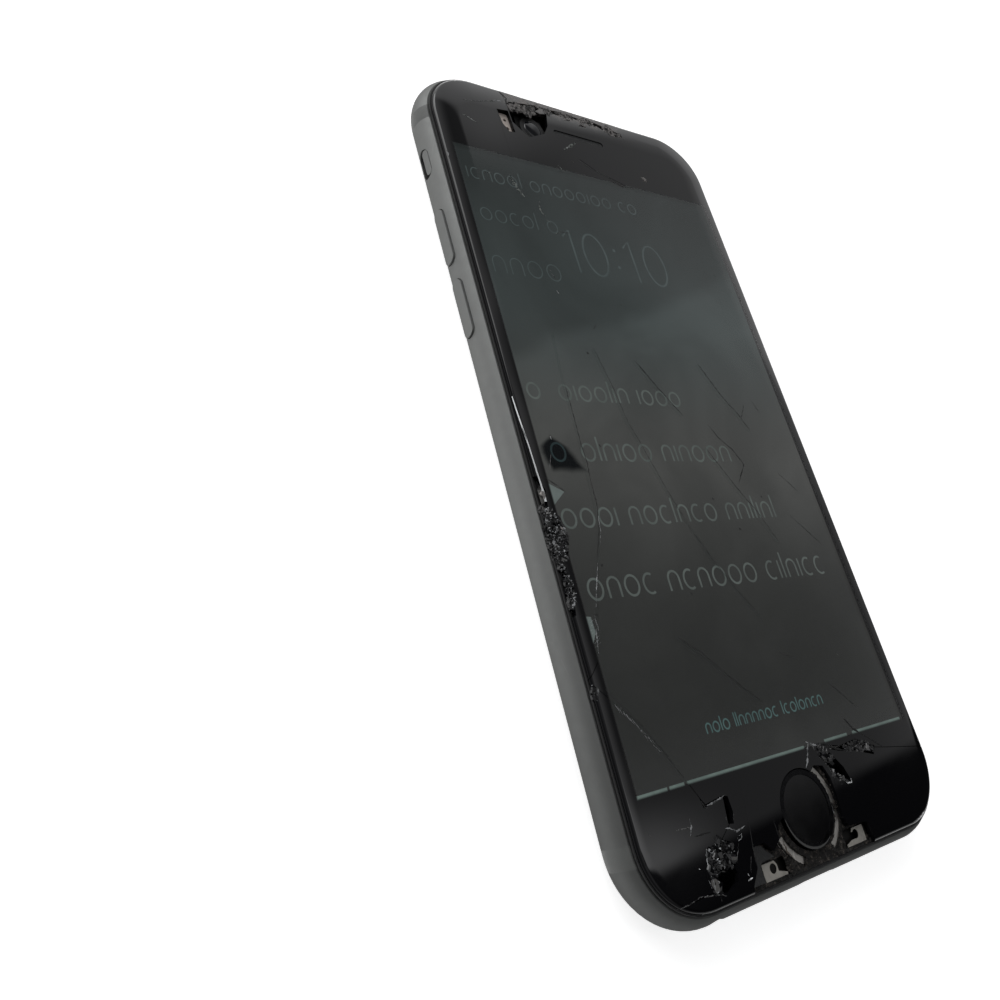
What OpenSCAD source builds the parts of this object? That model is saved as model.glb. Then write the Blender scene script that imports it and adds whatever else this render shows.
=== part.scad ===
/* [Body] */
// Overall length of the phone
body_l = 138.3; // [120:0.1:168]
// Overall width of the phone
body_w = 67.1; // [62:0.1:82]
// Thickness from the back face to the face of the glass
body_t = 7.1; // [7.1:0.1:9]
// Corner radius seen from the front
corner_r = 11.5; // [10:0.1:14]
// Radius of the rounded sides
side_r = 3.45; // [3.2:0.05:3.5]
// Thickness of the back wall
back_t = 0.9; // [0.8:0.05:1.1]
// Thickness of the side walls at mid height
side_t = 2.35; // [2:0.05:2.6]

/* [Screen] */
// Thickness of the front glass
glass_t = 0.7; // [0.5:0.05:0.8]
// Width of the cracks that go right through the glass
crack_w = 0.09; // [0.05:0.01:0.2]
// Width of the picture area
picture_w = 59.2; // [50:0.1:60]
// Length of the picture area
picture_l = 104; // [90:0.1:108]

/* [Buttons] */
// Length of each volume button
volume_l = 10.2; // [8:0.1:11]
// Height of the side buttons
button_h = 2.4; // [1.8:0.1:2.6]
// How far a side button travels inwards
press = 0.25; // [0.15:0.01:0.3]
// How far a side button stands out of the side
proud = 0.3; // [0.2:0.01:0.4]
// Gap all round a side button
button_gap = 0.1; // [0.06:0.01:0.2]
// Radius of the home button's disc
home_r = 4.6; // [4:0.05:5]
// How far the home button travels
home_press = 0.25; // [0.15:0.01:0.27]

/* [Sockets] */
// Radius of the headphone socket's bore
jack_r = 1.8; // [1.75:0.01:2]
// Depth of the headphone socket from the bottom edge
jack_l = 14.5; // [13:0.1:15]
// Width of the charging socket
charge_w = 8.4; // [8:0.1:9]
// Height of the charging socket
charge_h = 2.6; // [2.2:0.1:2.8]

/* [Rear camera] */
// How far the camera ring stands out of the back
ring_proud = 0.6; // [0.3:0.05:1]
// Outer radius of the camera ring
ring_r = 4.6; // [4.2:0.05:5]

/* [Hidden] */

fn_big = 96;
fn_small = 48;
touch = 0.02; // Clearance of a fixed joint
under = 0.05; // Clearance between stacked inner pieces
over = 1; // How far a cut runs past the surface it opens

// Levels, from the plane that the phone lies on
back_z = ring_proud;
floor_z = back_z + back_t;
mid_z = back_z + side_r;
front_z = back_z + body_t;
glass_z = front_z - glass_t;
rim_z = front_z - 0.95;
ledge_z = front_z - 2.2;
panel_t = 0.6;
panel_z = glass_z - panel_t;
light_t = 1.05;
light_z = panel_z - light_t;
shield_t = 0.15;
shield_z = light_z - under - shield_t;
roof_z = shield_z - under;

// Plan sizes
half_w = body_w / 2;
half_l = body_l / 2;
wall_x = half_w - side_t;
wall_y = half_l - side_t;
corner_x = half_w - corner_r;
corner_y = half_l - corner_r;
cavity_r = corner_r - side_t;
open_r = corner_r - 1.55;
frame_in_r = open_r - 0.75;
glass_r = open_r - 0.25;
glass_edge = 0.55;

picture_y = -0.2;

// Antenna bands
band_w = 2.7;
band_t = 0.6;
band_y = half_l - 10.7;
band_in_r = corner_r - 5.1;
band_line = 1.3;

// Side buttons, measured from the middle of the phone
volume_up_y = half_l - 34.5;
volume_down_y = half_l - 47.7;
ring_y = half_l - 20;
power_y = half_l - 34;
sim_y = half_l - 55;
flange_t = 0.4;
flange_over = 0.6;
flange_x = wall_x - 0.05;
switch_x = flange_x - flange_t - press - 0.05;
ring_l = 5.5;
lever_l = 4.7;
lever_h = 1.3;
lever_travel = 1;

// SIM tray
tray_face_l = 15;
tray_face_h = 1.9;
tray_w = 13.4;
tray_t = 0.9;
tray_in = 17;
tray_gap = 0.12;
tray_pocket_l = 12.3;
tray_hole_y = sim_y - 5.8;
tray_hole_r = 0.45;

// Home button
home_y = -(half_l - 9.15);
home_ring_r = home_r + 0.7;
home_flange_r = home_ring_r + 0.55;
home_clear = 0.17;
home_hole_r = home_ring_r + home_clear;
home_seat_r = 7.8;
seat_top = 6.1;
seat_foot = 6.5;
bare_in_r = 6.1;
bare_out_r = 7.3;
bracket_z = front_z - 2.15;
bracket_t = 0.25;
dome_t = 0.08;
home_flange_z = bracket_z + bracket_t + dome_t + home_press + 0.05;
gasket_z = home_flange_z + 0.3;
gasket_t = 0.15;
plate_z = gasket_z + gasket_t;
plate_t = 0.15;
lug_z = front_z - 1.05;
lug_h = 2.2;
lug_hole_r = 0.65;
home_top_z = front_z - 0.2;

// Top end
ear_y = half_l - 8.5;
ear_w = 11.8;
ear_h = 1.1;
cam_x = -10.2;
cam_y = ear_y - 0.1;
cam_half = 3;
cam_r = 2.7;
cam_bore_r = 1.9;
cam_lens_z = glass_z - 0.4;

// The rear camera's place; the logic board ends below it
rear_x = half_w - 11.5;
rear_y = half_l - 10.6;

// Battery and board
cell_l = body_l - 44.3;
cell_x0 = -wall_x + 2.2;
cell_x1 = 8;
cell_y0 = -half_l + 25.15;
cell_t = 3;
cell_z = floor_z + 0.1;
board_x0 = 10;
board_x1 = wall_x - 0.6;
board_y0 = -half_l + 27.15;
board_y1 = rear_y - 6.55;
board_z = floor_z + 0.5;
board_t = 0.7;
board_top = board_z + board_t;
can_t = 1.2;
cover_z = board_top + can_t;
cable_places = [16.4, 20.6];
cable_w = 3.4;
cable_y0 = board_y1 - 13;

board_screw_places = [
    [board_x0 + 1.2, board_y0 + 4], [board_x0 + 1.2, 0], [board_x0 + 1.2, 26],
    [board_x1 - 2, board_y1 - 1.4], [board_x1 - 2, board_y0 + 1]
];

// Rear camera
rear_half = 5;
flash_x = rear_x - 9.5;
flash_r = 1.7;
rear_mic_x = rear_x - 5.35;
rear_mic_r = 0.35;
barrel_r = ring_r - 1.3;
ring_w = 0.9;
lens_t = 0.3;
lens_z = back_z + touch;

// Bottom edge
jack_x = -(corner_x - 1.6);
jack_body_r = 2.55;
mic_x = jack_x + 5.6;
mic_r = 0.5;
screw_x = 7.2;
screw_r = 0.8;
screw_hole_r = 0.85;
speaker_x0 = 11.2;
speaker_r = 0.72;
speaker_n = 7;
speaker_pitch = 1.95;

// The size of phone that the damage below is drawn on, and where it starts to move as one with an edge
plain_half_w = 33.55;
plain_half_l = 69.15;
damage_x = 29;
damage_y = 50;

// The cracks, as points across the face from edge to edge or to where they die out
crack_left = [[-20.5, 16], [-21.3, 7], [-21.4, 0], [-22.5, -16], [-26.5, -26], [-29.8, -35], [-32.5, -37.6]];
crack_middle = [[-13, 14], [-10.7, 1], [-7, -11], [-2, -23], [4.2, -32.5]];
crack_upper = [[-4.7, 12.5], [-1.5, 7.5], [2.2, 2.5]];
crack_right = [[10.5, 13], [13.5, 7], [16.5, 3], [18, 0]];
crack_far_right = [[5, -3.5], [9.3, -11], [15, -21]];
crack_corner = [[-32.5, -36.8], [-25.5, -44], [-20.5, -52.5], [-19.4, -54.5]];
crack_low = [[-14.5, -33.5], [-7.5, -39.5], [-2, -44.5]];
crack_home = [[4.6, -51.8], [8.6, -53], [15, -54.3], [22, -55.6], [32.5, -57.4]];
crack_home_link = [[2.6, -54.6], [4.6, -51.8]];
crack_foot = [[-32.5, -65.6], [-28.6, -65.5], [-21.4, -65.2]];
crack_foot_top = [[-18, -60], [-15, -58]];
crack_camera = [[-15.3, 64.6], [-16.2, 67.6], [-16.2, 70]];
crack_brow = [[-1.6, 55.3], [2, 53.3], [8.2, 51.7]];

// Where glass has fallen out
gap_foot = [
    [-15.2, -70], [-14.8, -66.4], [-13.2, -64.6], [-12.9, -62.1], [-10.6, -62], [-9.2, -63.4], [-7.6, -62.4],
    [-6.9, -60.6], [-5.6, -60], [-4, -58], [2.4, -56], [4.2, -54.9], [6.1, -55.3], [6.9, -57.2], [6.9, -60.4],
    [6.6, -62.6], [7.2, -64], [8.6, -64.1], [11.6, -64.4], [11.8, -66.6], [12.6, -70]
];
gap_wedge = [
    [5.9, -53.8], [7.2, -53.1], [8.4, -53.6], [9.4, -54.8], [10.6, -56.4], [11.2, -58.2], [10.5, -58.9],
    [9, -58], [7.8, -57], [7.4, -55.7]
];
gap_sliver = [
    [5.4, -52.3], [8, -52.6], [11.3, -53.4], [15.5, -53.1], [19.6, -54.9], [18.7, -56.1], [14.4, -54.7],
    [10.9, -54.1], [7.6, -53]
];
gap_notch = [[-19.6, -54.1], [-18.8, -55.3], [-15.6, -54.9], [-15.5, -55.1], [-18.7, -55.6], [-19.3, -55.7]];
gap_strip = [[-15.4, -54.9], [-14.5, -55.2], [-14.4, -57.2], [-14.9, -58.6], [-15.9, -58.4]];
gap_crush = [
    [-20.8, -60.4], [-18, -59.7], [-15.9, -60.8], [-16.4, -62.8], [-17.2, -63.4], [-16.8, -64.2],
    [-17.2, -65.2], [-18.9, -65.9], [-21.4, -65.5], [-20.8, -63.2]
];
gap_camera = [
    [-15.4, 64.6], [-15.2, 60.2], [-13.4, 58.4], [-12.3, 57.5], [-8.4, 59.4], [-7, 61.6], [-6.3, 64.6],
    [-8, 64.2], [-10, 64.9], [-13, 64.4]
];
gap_bracket = [[-18, 62.3], [-15.5, 62.6], [-15.3, 57.7], [-16.6, 57.6], [-17.6, 59.2]];
gap_top = [
    [-14.9, 64.9], [-12.6, 65.3], [-10.4, 65.7], [-8, 66.1], [-5.2, 66], [-2.2, 66.3], [1.2, 66], [4.6, 66.3],
    [7.2, 65.9], [9.6, 65.8], [12.3, 64.8], [12.2, 64.3], [10.2, 64], [8, 64.6], [5.8, 65.5], [2.6, 65.2],
    [0.2, 65.6], [-2.4, 65.1], [-5.4, 65.3], [-7.4, 65.6], [-9.2, 64.4], [-11.6, 63.8], [-14.6, 63.2]
];
gap_side = [
    [-34, -7.6], [-31.2, -8.4], [-30.5, -10.5], [-30.9, -13], [-30.3, -16.5], [-30.8, -20], [-30.5, -24],
    [-31.2, -28.5], [-34, -29.5]
];

// The phone's outline with corners of radius r, all about the same corner centres
module outline(r) {
    square([2 * corner_x, 2 * (corner_y + r)], center = true);
    square([2 * (corner_x + r), 2 * corner_y], center = true);
    for (x = [-1, 1], y = [-1, 1])
        translate([x * corner_x, y * corner_y]) circle(r, $fn = fn_big);
}

module stadium(l, h) {
    square([h, l - h], center = true);
    for (y = [-1, 1])
        translate([0, y * (l - h) / 2]) circle(h / 2, $fn = fn_small);
}

module block(x0, x1, y0, y1, z0, z1) {
    translate([x0, y0, z0]) cube([x1 - x0, y1 - y0, z1 - z0]);
}

module rod(x, y, z0, z1, r, fn = fn_small) {
    translate([x, y, z0]) cylinder(r = r, h = z1 - z0, $fn = fn);
}

module plate(z0, z1) {
    translate([0, 0, z0]) linear_extrude(z1 - z0) children();
}

// Sweeps a side profile round the phone's outline. The profile's x runs outwards from the corner's centre.
module round_the_edge() {
    for (x = [0, 1], y = [0, 1])
        mirror([x, 0, 0]) mirror([0, y, 0]) translate([corner_x, corner_y, 0])
            rotate_extrude(angle = 90, $fn = fn_big) children();
    for (x = [0, 1])
        mirror([x, 0, 0]) translate([corner_x, corner_y, 0]) rotate([90, 0, 0])
            linear_extrude(2 * corner_y) children();
    for (y = [0, 1])
        mirror([0, y, 0]) translate([-corner_x, corner_y, 0]) rotate([90, 0, 90])
            linear_extrude(2 * corner_x) children();
}

// The rounded slab of the whole body, smaller by inset, cut off at top
module slab(inset, top) {
    r = side_r - inset;
    round_the_edge() intersection() {
        union() {
            translate([0, mid_z - r]) square([corner_r - side_r, 2 * r]);
            translate([corner_r - side_r, mid_z]) circle(r, $fn = fn_big);
        }
        square([corner_r + over, top]);
    }
    block(-corner_x, corner_x, -corner_y, corner_y, mid_z - r, min(top, mid_z + r));
}

module screen_opening() {
    plate(ledge_z, front_z + over) outline(open_r);
}

// A pill-shaped bar along X through one side: +1 is the right side, -1 the left
module side_bar(side, y, x_in, x_out, l, h, z = mid_z) {
    translate([side > 0 ? x_in : -x_out, y, z]) rotate([0, 90, 0])
        linear_extrude(x_out - x_in) stadium(l, h);
}

// An antenna band's plan: across each side, then along the end inside the rounded edge
module band(side) {
    y0 = band_y - band_w / 2;
    mirror([0, side > 0 ? 0 : 1, 0]) plate(-over, front_z) difference() {
        union() {
            translate([-half_w - over, y0]) square([body_w + 2 * over, band_w]);
            intersection() {
                outline(band_in_r + band_line);
                translate([-half_w, y0]) square([body_w, half_l]);
            }
        }
        outline(band_in_r);
    }
}

module side_cuts() {
    x_in = wall_x - over;
    x_out = half_w + over;
    side_bar(-1, volume_up_y, x_in, x_out, volume_l + 2 * button_gap, button_h + 2 * button_gap);
    side_bar(-1, volume_down_y, x_in, x_out, volume_l + 2 * button_gap, button_h + 2 * button_gap);
    side_bar(-1, ring_y, x_in, x_out, ring_l, lever_h + lever_travel + 2 * button_gap);
    side_bar(1, power_y, x_in, x_out, volume_l + 2 * button_gap, button_h + 2 * button_gap);
    side_bar(1, sim_y, x_in, x_out, tray_face_l + 2 * tray_gap, tray_face_h + 2 * tray_gap);
}

module along_y(x, y, l, r, z = mid_z, fn = fn_small) {
    translate([x, y + l, z]) rotate([90, 0, 0]) cylinder(r = r, h = l, $fn = fn);
}

module bottom_cuts() {
    y = -half_l - over;
    l = side_t + 2 * over;
    along_y(jack_x, y, l, jack_r);
    translate([0, y + l, mid_z]) rotate([90, 0, 0]) linear_extrude(l)
        rotate(90) stadium(charge_w + 0.3, charge_h + 0.3);
    for (s = [-1, 1])
        along_y(s * screw_x, y, l, screw_hole_r);
    for (i = [0 : speaker_n - 1])
        along_y(speaker_x0 + i * speaker_pitch, y, l, speaker_r);
    along_y(mic_x, y, l, mic_r);
}

module rear_housing() {
    color([0.42, 0.43, 0.42]) difference() {
        slab(0, rim_z);
        plate(floor_z, front_z) outline(cavity_r);
        screen_opening();
        for (s = [-1, 1])
            difference() {
                band(s);
                slab(band_t, front_z);
            }
        side_cuts();
        bottom_cuts();
        rod(rear_x, rear_y, -over, floor_z + over, ring_r);
        rod(flash_x, rear_y, -over, floor_z + over, flash_r);
        rod(rear_mic_x, rear_y, -over, floor_z + over, rear_mic_r);
    }
}

module antenna_band(side) {
    color([0.3, 0.31, 0.3]) difference() {
        intersection() {
            slab(0, rim_z);
            band(side);
        }
        slab(band_t, front_z);
        screen_opening();
    }
}

module side_button(side, y, l) {
    union() {
        intersection() {
            side_bar(side, y, flange_x - flange_t / 2, half_w + over, l, button_h);
            slab(-proud, front_z);
        }
        translate([side * (flange_x - flange_t / 2), y, mid_z])
            cube([flange_t, l + 2 * flange_over, button_h - 0.2], center = true);
    }
}

module volume_up_button() {
    color([0.4, 0.41, 0.4]) side_button(-1, volume_up_y, volume_l);
}

module volume_down_button() {
    color([0.4, 0.41, 0.4]) side_button(-1, volume_down_y, volume_l);
}

module power_button() {
    color([0.4, 0.41, 0.4]) side_button(1, power_y, volume_l);
}

module volume_switch_flex() {
    flex_x = -switch_x + 0.75;
    color([0.55, 0.35, 0.15]) union() {
        block(flex_x, flex_x + 0.2, volume_down_y - 4, ring_y - 4, mid_z - 1.2, mid_z + 0.7);
        for (y = [volume_up_y, volume_down_y])
            block(-switch_x, flex_x, y - 1.5, y + 1.5, mid_z - 1, mid_z + 0.7);
    }
}

module ring_switch() {
    lever_z = mid_z + lever_travel / 2;
    color([0.4, 0.41, 0.4]) union() {
        intersection() {
            side_bar(-1, ring_y, flange_x - flange_t / 2, half_w + over, lever_l, lever_h, lever_z);
            slab(0, front_z);
        }
        translate([-(flange_x - flange_t / 2), ring_y, lever_z])
            cube([flange_t, lever_l + 2 * flange_over, lever_h - 0.1], center = true);
    }
}

module ring_switch_base() {
    color([0.12, 0.12, 0.12])
        block(-flange_x + flange_t + 0.15, -flange_x + flange_t + 1.2, ring_y - 3, ring_y + 3,
            floor_z + 0.2, roof_z);
}

module power_switch_flex() {
    flex_x = switch_x - 0.75;
    color([0.55, 0.35, 0.15]) union() {
        block(flex_x - 0.2, flex_x, power_y - 3, power_y + 8, mid_z - 0.9, mid_z + 0.7);
        block(flex_x, switch_x, power_y - 1.5, power_y + 1.5, mid_z - 0.9, mid_z + 0.7);
    }
}

module sim_tray() {
    face_in = wall_x - 0.4;
    color([0.4, 0.41, 0.4]) difference() {
        union() {
            intersection() {
                side_bar(1, sim_y, face_in, half_w + over, tray_face_l, tray_face_h);
                slab(0, front_z);
            }
            block(half_w - tray_in, face_in + 0.2, sim_y - tray_w / 2, sim_y + tray_w / 2,
                mid_z - tray_t / 2, mid_z + tray_t / 2);
        }
        block(half_w - tray_in + 1.2, half_w - tray_in + 10, sim_y - tray_pocket_l / 2,
            sim_y + tray_pocket_l / 2, mid_z - tray_t, mid_z + tray_t);
        translate([half_w - 1.6, tray_hole_y, mid_z]) rotate([0, 90, 0])
            cylinder(r = tray_hole_r, h = 3, $fn = fn_small);
    }
}

module sim_reader() {
    x0 = half_w - tray_in - 1;
    x1 = wall_x - 1;
    color([0.7, 0.7, 0.68]) difference() {
        block(x0, x1, sim_y - 8, sim_y + 8, board_top, roof_z - 0.05);
        block(x0 + 0.6, x1 + over, sim_y - tray_w / 2 - 0.2, sim_y + tray_w / 2 + 0.2,
            mid_z - 0.65, mid_z + 0.65);
    }
}

// A crack as thin bars from point to point, each running on by half its width
module crack(points, w = crack_w) {
    for (i = [0 : len(points) - 2]) {
        a = points[i];
        b = points[i + 1];
        d = b - a;
        translate(a) rotate(atan2(d[1], d[0])) translate([-w / 2, -w / 2]) square([norm(d) + w, w]);
    }
}

// How far a face point at distance d from the middle moves out when the phone grows by grow at each end:
// nothing at the middle, the whole way from far outwards
function moved(d, grow, far) = d + grow * max(-1, min(1, d / far));

// Damage drawn for a phone of the plain size, moved with the sides and ends when the size changes
function on_face(points) = [
    for (p = points)
        [moved(p[0], half_w - plain_half_w, damage_x), moved(p[1], half_l - plain_half_l, damage_y)]
];

module cracks() {
    for (c = [crack_left, crack_middle, crack_upper, crack_right, crack_far_right, crack_corner, crack_low,
            crack_home, crack_home_link, crack_foot, crack_foot_top, crack_camera, crack_brow])
        crack(on_face(c));
}

module gaps() {
    for (g = [gap_foot, gap_wedge, gap_sliver, gap_notch, gap_strip, gap_crush, gap_camera, gap_bracket,
            gap_top, gap_side])
        polygon(on_face(g));
}

module glass_slab() {
    round_the_edge() union() {
        translate([0, glass_z]) square([glass_r, glass_t - glass_edge]);
        translate([0, glass_z]) square([glass_r - glass_edge, glass_t]);
        intersection() {
            translate([glass_r - glass_edge, front_z - glass_edge]) circle(glass_edge, $fn = fn_small);
            translate([0, glass_z]) square([glass_r, glass_t]);
        }
    }
    block(-corner_x, corner_x, -corner_y, corner_y, glass_z, front_z);
}

module front_glass() {
    color([0.1, 0.11, 0.11, 0.7]) difference() {
        glass_slab();
        plate(glass_z - over, front_z + over) cracks();
        plate(glass_z - over, front_z + over) gaps();
        rod(0, home_y, glass_z - over, front_z + over, home_hole_r);
        plate(glass_z - over, front_z + over) translate([0, ear_y]) rotate(90) stadium(ear_w, ear_h);
    }
}

// A flat part-ring about the home button, from one angle to another
module bare_patch(z0, z1, a0, a1, r0, r1) {
    steps = 8;
    turn = [for (i = [0 : steps]) a0 + (a1 - a0) * i / steps];
    plate(z0, z1) translate([0, home_y])
        polygon(concat([for (a = turn) r0 * [cos(a), sin(a)]],
            [for (i = [steps : -1 : 0]) r1 * [cos(turn[i]), sin(turn[i])]]));
}

// Black glue left on the home button's plate, with three bare patches
module glass_adhesive() {
    z = plate_z + plate_t;
    color([0.03, 0.03, 0.03]) difference() {
        home_seat(z, glass_z - touch, home_seat_r - 0.1);
        bare_patch(z - over, front_z, 200, 242, bare_in_r + 0.3, bare_out_r + 0.2);
        bare_patch(z - over, front_z, -60, -12, bare_in_r + 0.1, bare_out_r - 0.1);
        bare_patch(z - over, front_z, -6, 50, bare_in_r - 0.1, bare_out_r - 0.3);
    }
}

module display_frame() {
    color([0.05, 0.05, 0.05]) difference() {
        plate(ledge_z, glass_z + 0.2) outline(open_r - touch);
        plate(ledge_z - over, glass_z + over) outline(frame_in_r);
        plate(glass_z, glass_z + over) outline(glass_r + touch);
        along_y(jack_x, -half_l, jack_l, jack_body_r + under);
    }
}

module display_panel() {
    color([0.2, 0.23, 0.22])
        block(-picture_w / 2 - 0.6, picture_w / 2 + 0.6, picture_y - picture_l / 2 - 1,
            picture_y + picture_l / 2 + 1, panel_z, glass_z - touch);
}

module backlight_unit() {
    color([0.85, 0.86, 0.84])
        block(-picture_w / 2 - 0.8, picture_w / 2 + 0.8, picture_y - picture_l / 2 - 1.4,
            picture_y + picture_l / 2 + 1.4, light_z, panel_z);
}

module display_shield_plate() {
    color([0.6, 0.6, 0.58])
        block(-picture_w / 2 - 0.7, picture_w / 2 + 0.7, picture_y - picture_l / 2 - 1.2,
            picture_y + picture_l / 2 + 1.2, shield_z, shield_z + shield_t);
}

module display_flex_cables() {
    color([0.55, 0.35, 0.15]) union() {
        for (x = cable_places)
            block(x, x + cable_w, cable_y0, board_y1 + 1, roof_z - 0.3, roof_z - 0.15);
        for (x = cable_places)
            block(x, x + cable_w, cable_y0, cable_y0 + 0.2, cover_z + 0.2, roof_z - 0.15);
    }
}

module home_button() {
    color([0.03, 0.03, 0.03])
        rod(0, home_y, home_flange_z + 0.27, home_top_z, home_r - touch, fn_big);
}

module home_button_ring() {
    color([0.35, 0.36, 0.36]) difference() {
        union() {
            rod(0, home_y, home_flange_z, home_top_z + 0.08, home_ring_r, fn_big);
            rod(0, home_y, home_flange_z, home_flange_z + 0.25, home_flange_r, fn_big);
        }
        rod(0, home_y, home_flange_z - over, front_z, home_r, fn_big);
    }
}

module home_button_sensor() {
    color([0.15, 0.3, 0.2])
        rod(0, home_y, home_flange_z, home_flange_z + 0.25, home_r - touch, fn_big);
}

// A flat ring round the home button, cut straight at the picture and at the bottom edge
module home_seat(z0, z1, r) {
    difference() {
        intersection() {
            rod(0, home_y, z0, z1, r, fn_big);
            block(-r, r, home_y - seat_foot, home_y + seat_top, z0, z1);
        }
        rod(0, home_y, z0 - over, z1 + over, home_hole_r, fn_big);
    }
}

module home_button_gasket() {
    color([0.06, 0.06, 0.06]) home_seat(gasket_z, plate_z, home_seat_r);
}

module home_button_plate() {
    color([0.62, 0.6, 0.56]) home_seat(plate_z, plate_z + plate_t, home_seat_r);
}

// One lug of the home button's bracket: a flat foot with a toe, a screw hole and the leg that carries it.
// A torn lug's hole is broken open on the inner side.
module lug(side, x_out, y, torn) {
    x_in = x_out - 2.9;
    x_hole = x_out - 2;
    y_hole = y - 0.9;
    y_toe = y - 1.4;
    y_foot = y - lug_h;
    mirror([side > 0 ? 0 : 1, 0, 0]) {
        difference() {
            plate(lug_z, lug_z + bracket_t)
                polygon([[x_out, y], [x_in + 0.4, y], [x_in, y - 0.6], [x_in, y_toe],
                    [x_in - 1.6, y_toe - 0.5], [x_in - 1.6, y_foot], [x_out, y_foot]]);
            rod(x_hole, y_hole, lug_z - over, front_z, lug_hole_r);
            if (torn)
                block(x_in - over, x_hole, y_hole - 0.6, y_hole + 0.4, lug_z - over, front_z);
        }
        block(x_out - bracket_t, x_out, y_foot, y, bracket_z, lug_z + bracket_t);
    }
}

module home_button_bracket() {
    y = home_y - 4.6;
    left = 11.6;
    right = 11;
    color([0.66, 0.66, 0.64]) union() {
        block(-left, right, y - lug_h, home_y + 5.6, bracket_z, bracket_z + bracket_t);
        lug(-1, left, y, false);
        lug(1, right, y, true);
    }
}

module home_button_flex() {
    z = bracket_z + bracket_t;
    color([0.6, 0.4, 0.2]) union() {
        rod(0, home_y, z, z + dome_t, 2);
        block(-1.2, 1.2, home_y, home_y + 5.4, z, z + dome_t);
    }
}

module earpiece_mesh() {
    color([0.1, 0.1, 0.1])
        plate(glass_z - 0.2, front_z - 0.15) translate([0, ear_y]) rotate(90)
            stadium(ear_w - 2 * touch, ear_h - 2 * touch);
}

module earpiece_speaker() {
    color([0.15, 0.15, 0.15])
        block(-ear_w / 2, ear_w / 2, ear_y - 2.8, ear_y + 3, roof_z - 0.2, glass_z - 0.2);
}

module front_camera() {
    color([0.04, 0.04, 0.045]) difference() {
        union() {
            block(cam_x - cam_half, cam_x + cam_half, cam_y - cam_half, cam_y + cam_half,
                roof_z - 1, glass_z - 0.7);
            rod(cam_x, cam_y, glass_z - 0.7, glass_z - 0.1, cam_r);
        }
        rod(cam_x, cam_y, cam_lens_z, front_z, cam_bore_r);
    }
}

module front_camera_lens() {
    color([0.1, 0.1, 0.14])
        rod(cam_x, cam_y, cam_lens_z, glass_z - 0.05, cam_bore_r - touch);
}

module front_camera_bracket() {
    x0 = cam_x - 7.2;
    y0 = cam_y - 2.7;
    z = glass_z - 0.25;
    color([0.74, 0.68, 0.62]) difference() {
        union() {
            block(x0, x0 + 2.6, y0, y0 + 4.5, z, z + 0.2);
            block(x0, x0 + 0.25, y0, y0 + 4.5, roof_z, z + 0.2);
            block(x0, cam_x - cam_half, y0, y0 + 1, roof_z, roof_z + 0.25);
        }
        rod(x0 + 1.3, y0 + 1.2, z - 0.3, front_z, 0.35);
        rod(x0 + 1.2, y0 + 3.1, z - 0.3, front_z, 0.3);
    }
}

module light_sensor() {
    color([0.1, 0.1, 0.1])
        block(-1.2, 1.2, ear_y + 3.6, ear_y + 5.4, glass_z - 0.8, glass_z - 0.1);
}

module sensor_flex() {
    z = roof_z - 0.25;
    y = cam_y - cam_half;
    color([0.55, 0.35, 0.15]) union() {
        block(cam_x - 2.5, 15, y - 4, y - 1.5, z, z + 0.15);
        block(cam_x - 2, cam_x + 2, y - 1.5, y, z, z + 0.15);
        block(-3, 3, y - 1.5, y + 3.2, z - 0.05, z);
        block(-3, 3, y - 2, y - 1.5, z - 0.05, z + 0.15);
        block(11.5, 15, y - 12, y - 4, z, z + 0.15);
    }
}

module battery() {
    color([0.08, 0.08, 0.08])
        block(cell_x0, cell_x1, cell_y0, cell_y0 + cell_l, cell_z, cell_z + cell_t);
}

module battery_adhesive() {
    color([0.9, 0.9, 0.88])
        for (x = [cell_x0 + 5, cell_x1 - 11])
            block(x, x + 6, cell_y0 + 4, cell_y0 + cell_l - 4, floor_z, cell_z);
}

module battery_lead() {
    color([0.55, 0.35, 0.15])
        block(cell_x1, board_x0 + 2, 3, 6, board_top, board_top + 0.3);
}

module logic_board() {
    color([0.08, 0.16, 0.12]) difference() {
        block(board_x0, board_x1, board_y0, board_y1, board_z, board_top);
        for (p = board_screw_places)
            rod(p[0], p[1], board_z - over, board_top + over, 0.55);
    }
}

module board_screws() {
    color([0.7, 0.7, 0.68])
        for (p = board_screw_places)
            union() {
                rod(p[0], p[1], floor_z, board_top, 0.5);
                rod(p[0], p[1], board_top, board_top + 0.4, 0.9);
            }
}

module board_can(y0, y1) {
    color([0.72, 0.72, 0.7])
        block(board_x0 + 2.6, board_x1 - 1.4, y0, y1, board_top, board_top + can_t);
}

module upper_board_shield() {
    board_can(sim_y + 9, board_y1 - 15.5);
}

module middle_board_shield() {
    board_can(sim_y - 25, sim_y - 9);
}

module lower_board_shield() {
    board_can(board_y0 + 2.4, sim_y - 26);
}

module connector_cover() {
    y0 = board_y1 - 14;
    y1 = board_y1 - 2.6;
    x0 = board_x0 + 2.6;
    x1 = board_x1 - 3.4;
    color([0.66, 0.66, 0.64]) union() {
        block(x0, x1, y0, y1, cover_z, cover_z + 0.2);
        block(x0, x0 + 0.2, y0, y1, board_top, cover_z);
        block(x1 - 0.2, x1, y0, y1, board_top, cover_z);
    }
}

module rear_camera() {
    color([0.06, 0.06, 0.06]) union() {
        block(rear_x - rear_half, rear_x + rear_half, rear_y - rear_half, rear_y + rear_half,
            floor_z + 0.05, roof_z - 0.2);
        rod(rear_x, rear_y, lens_z, floor_z + 0.05, barrel_r);
    }
}

module rear_camera_ring() {
    color([0.4, 0.41, 0.4]) difference() {
        rod(rear_x, rear_y, 0, floor_z, ring_r - touch);
        rod(rear_x, rear_y, -over, floor_z + over, ring_r - ring_w);
    }
}

module rear_camera_lens() {
    color([0.08, 0.08, 0.1])
        rod(rear_x, rear_y, lens_z - touch - lens_t, lens_z - touch, ring_r - ring_w - touch);
}

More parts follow.
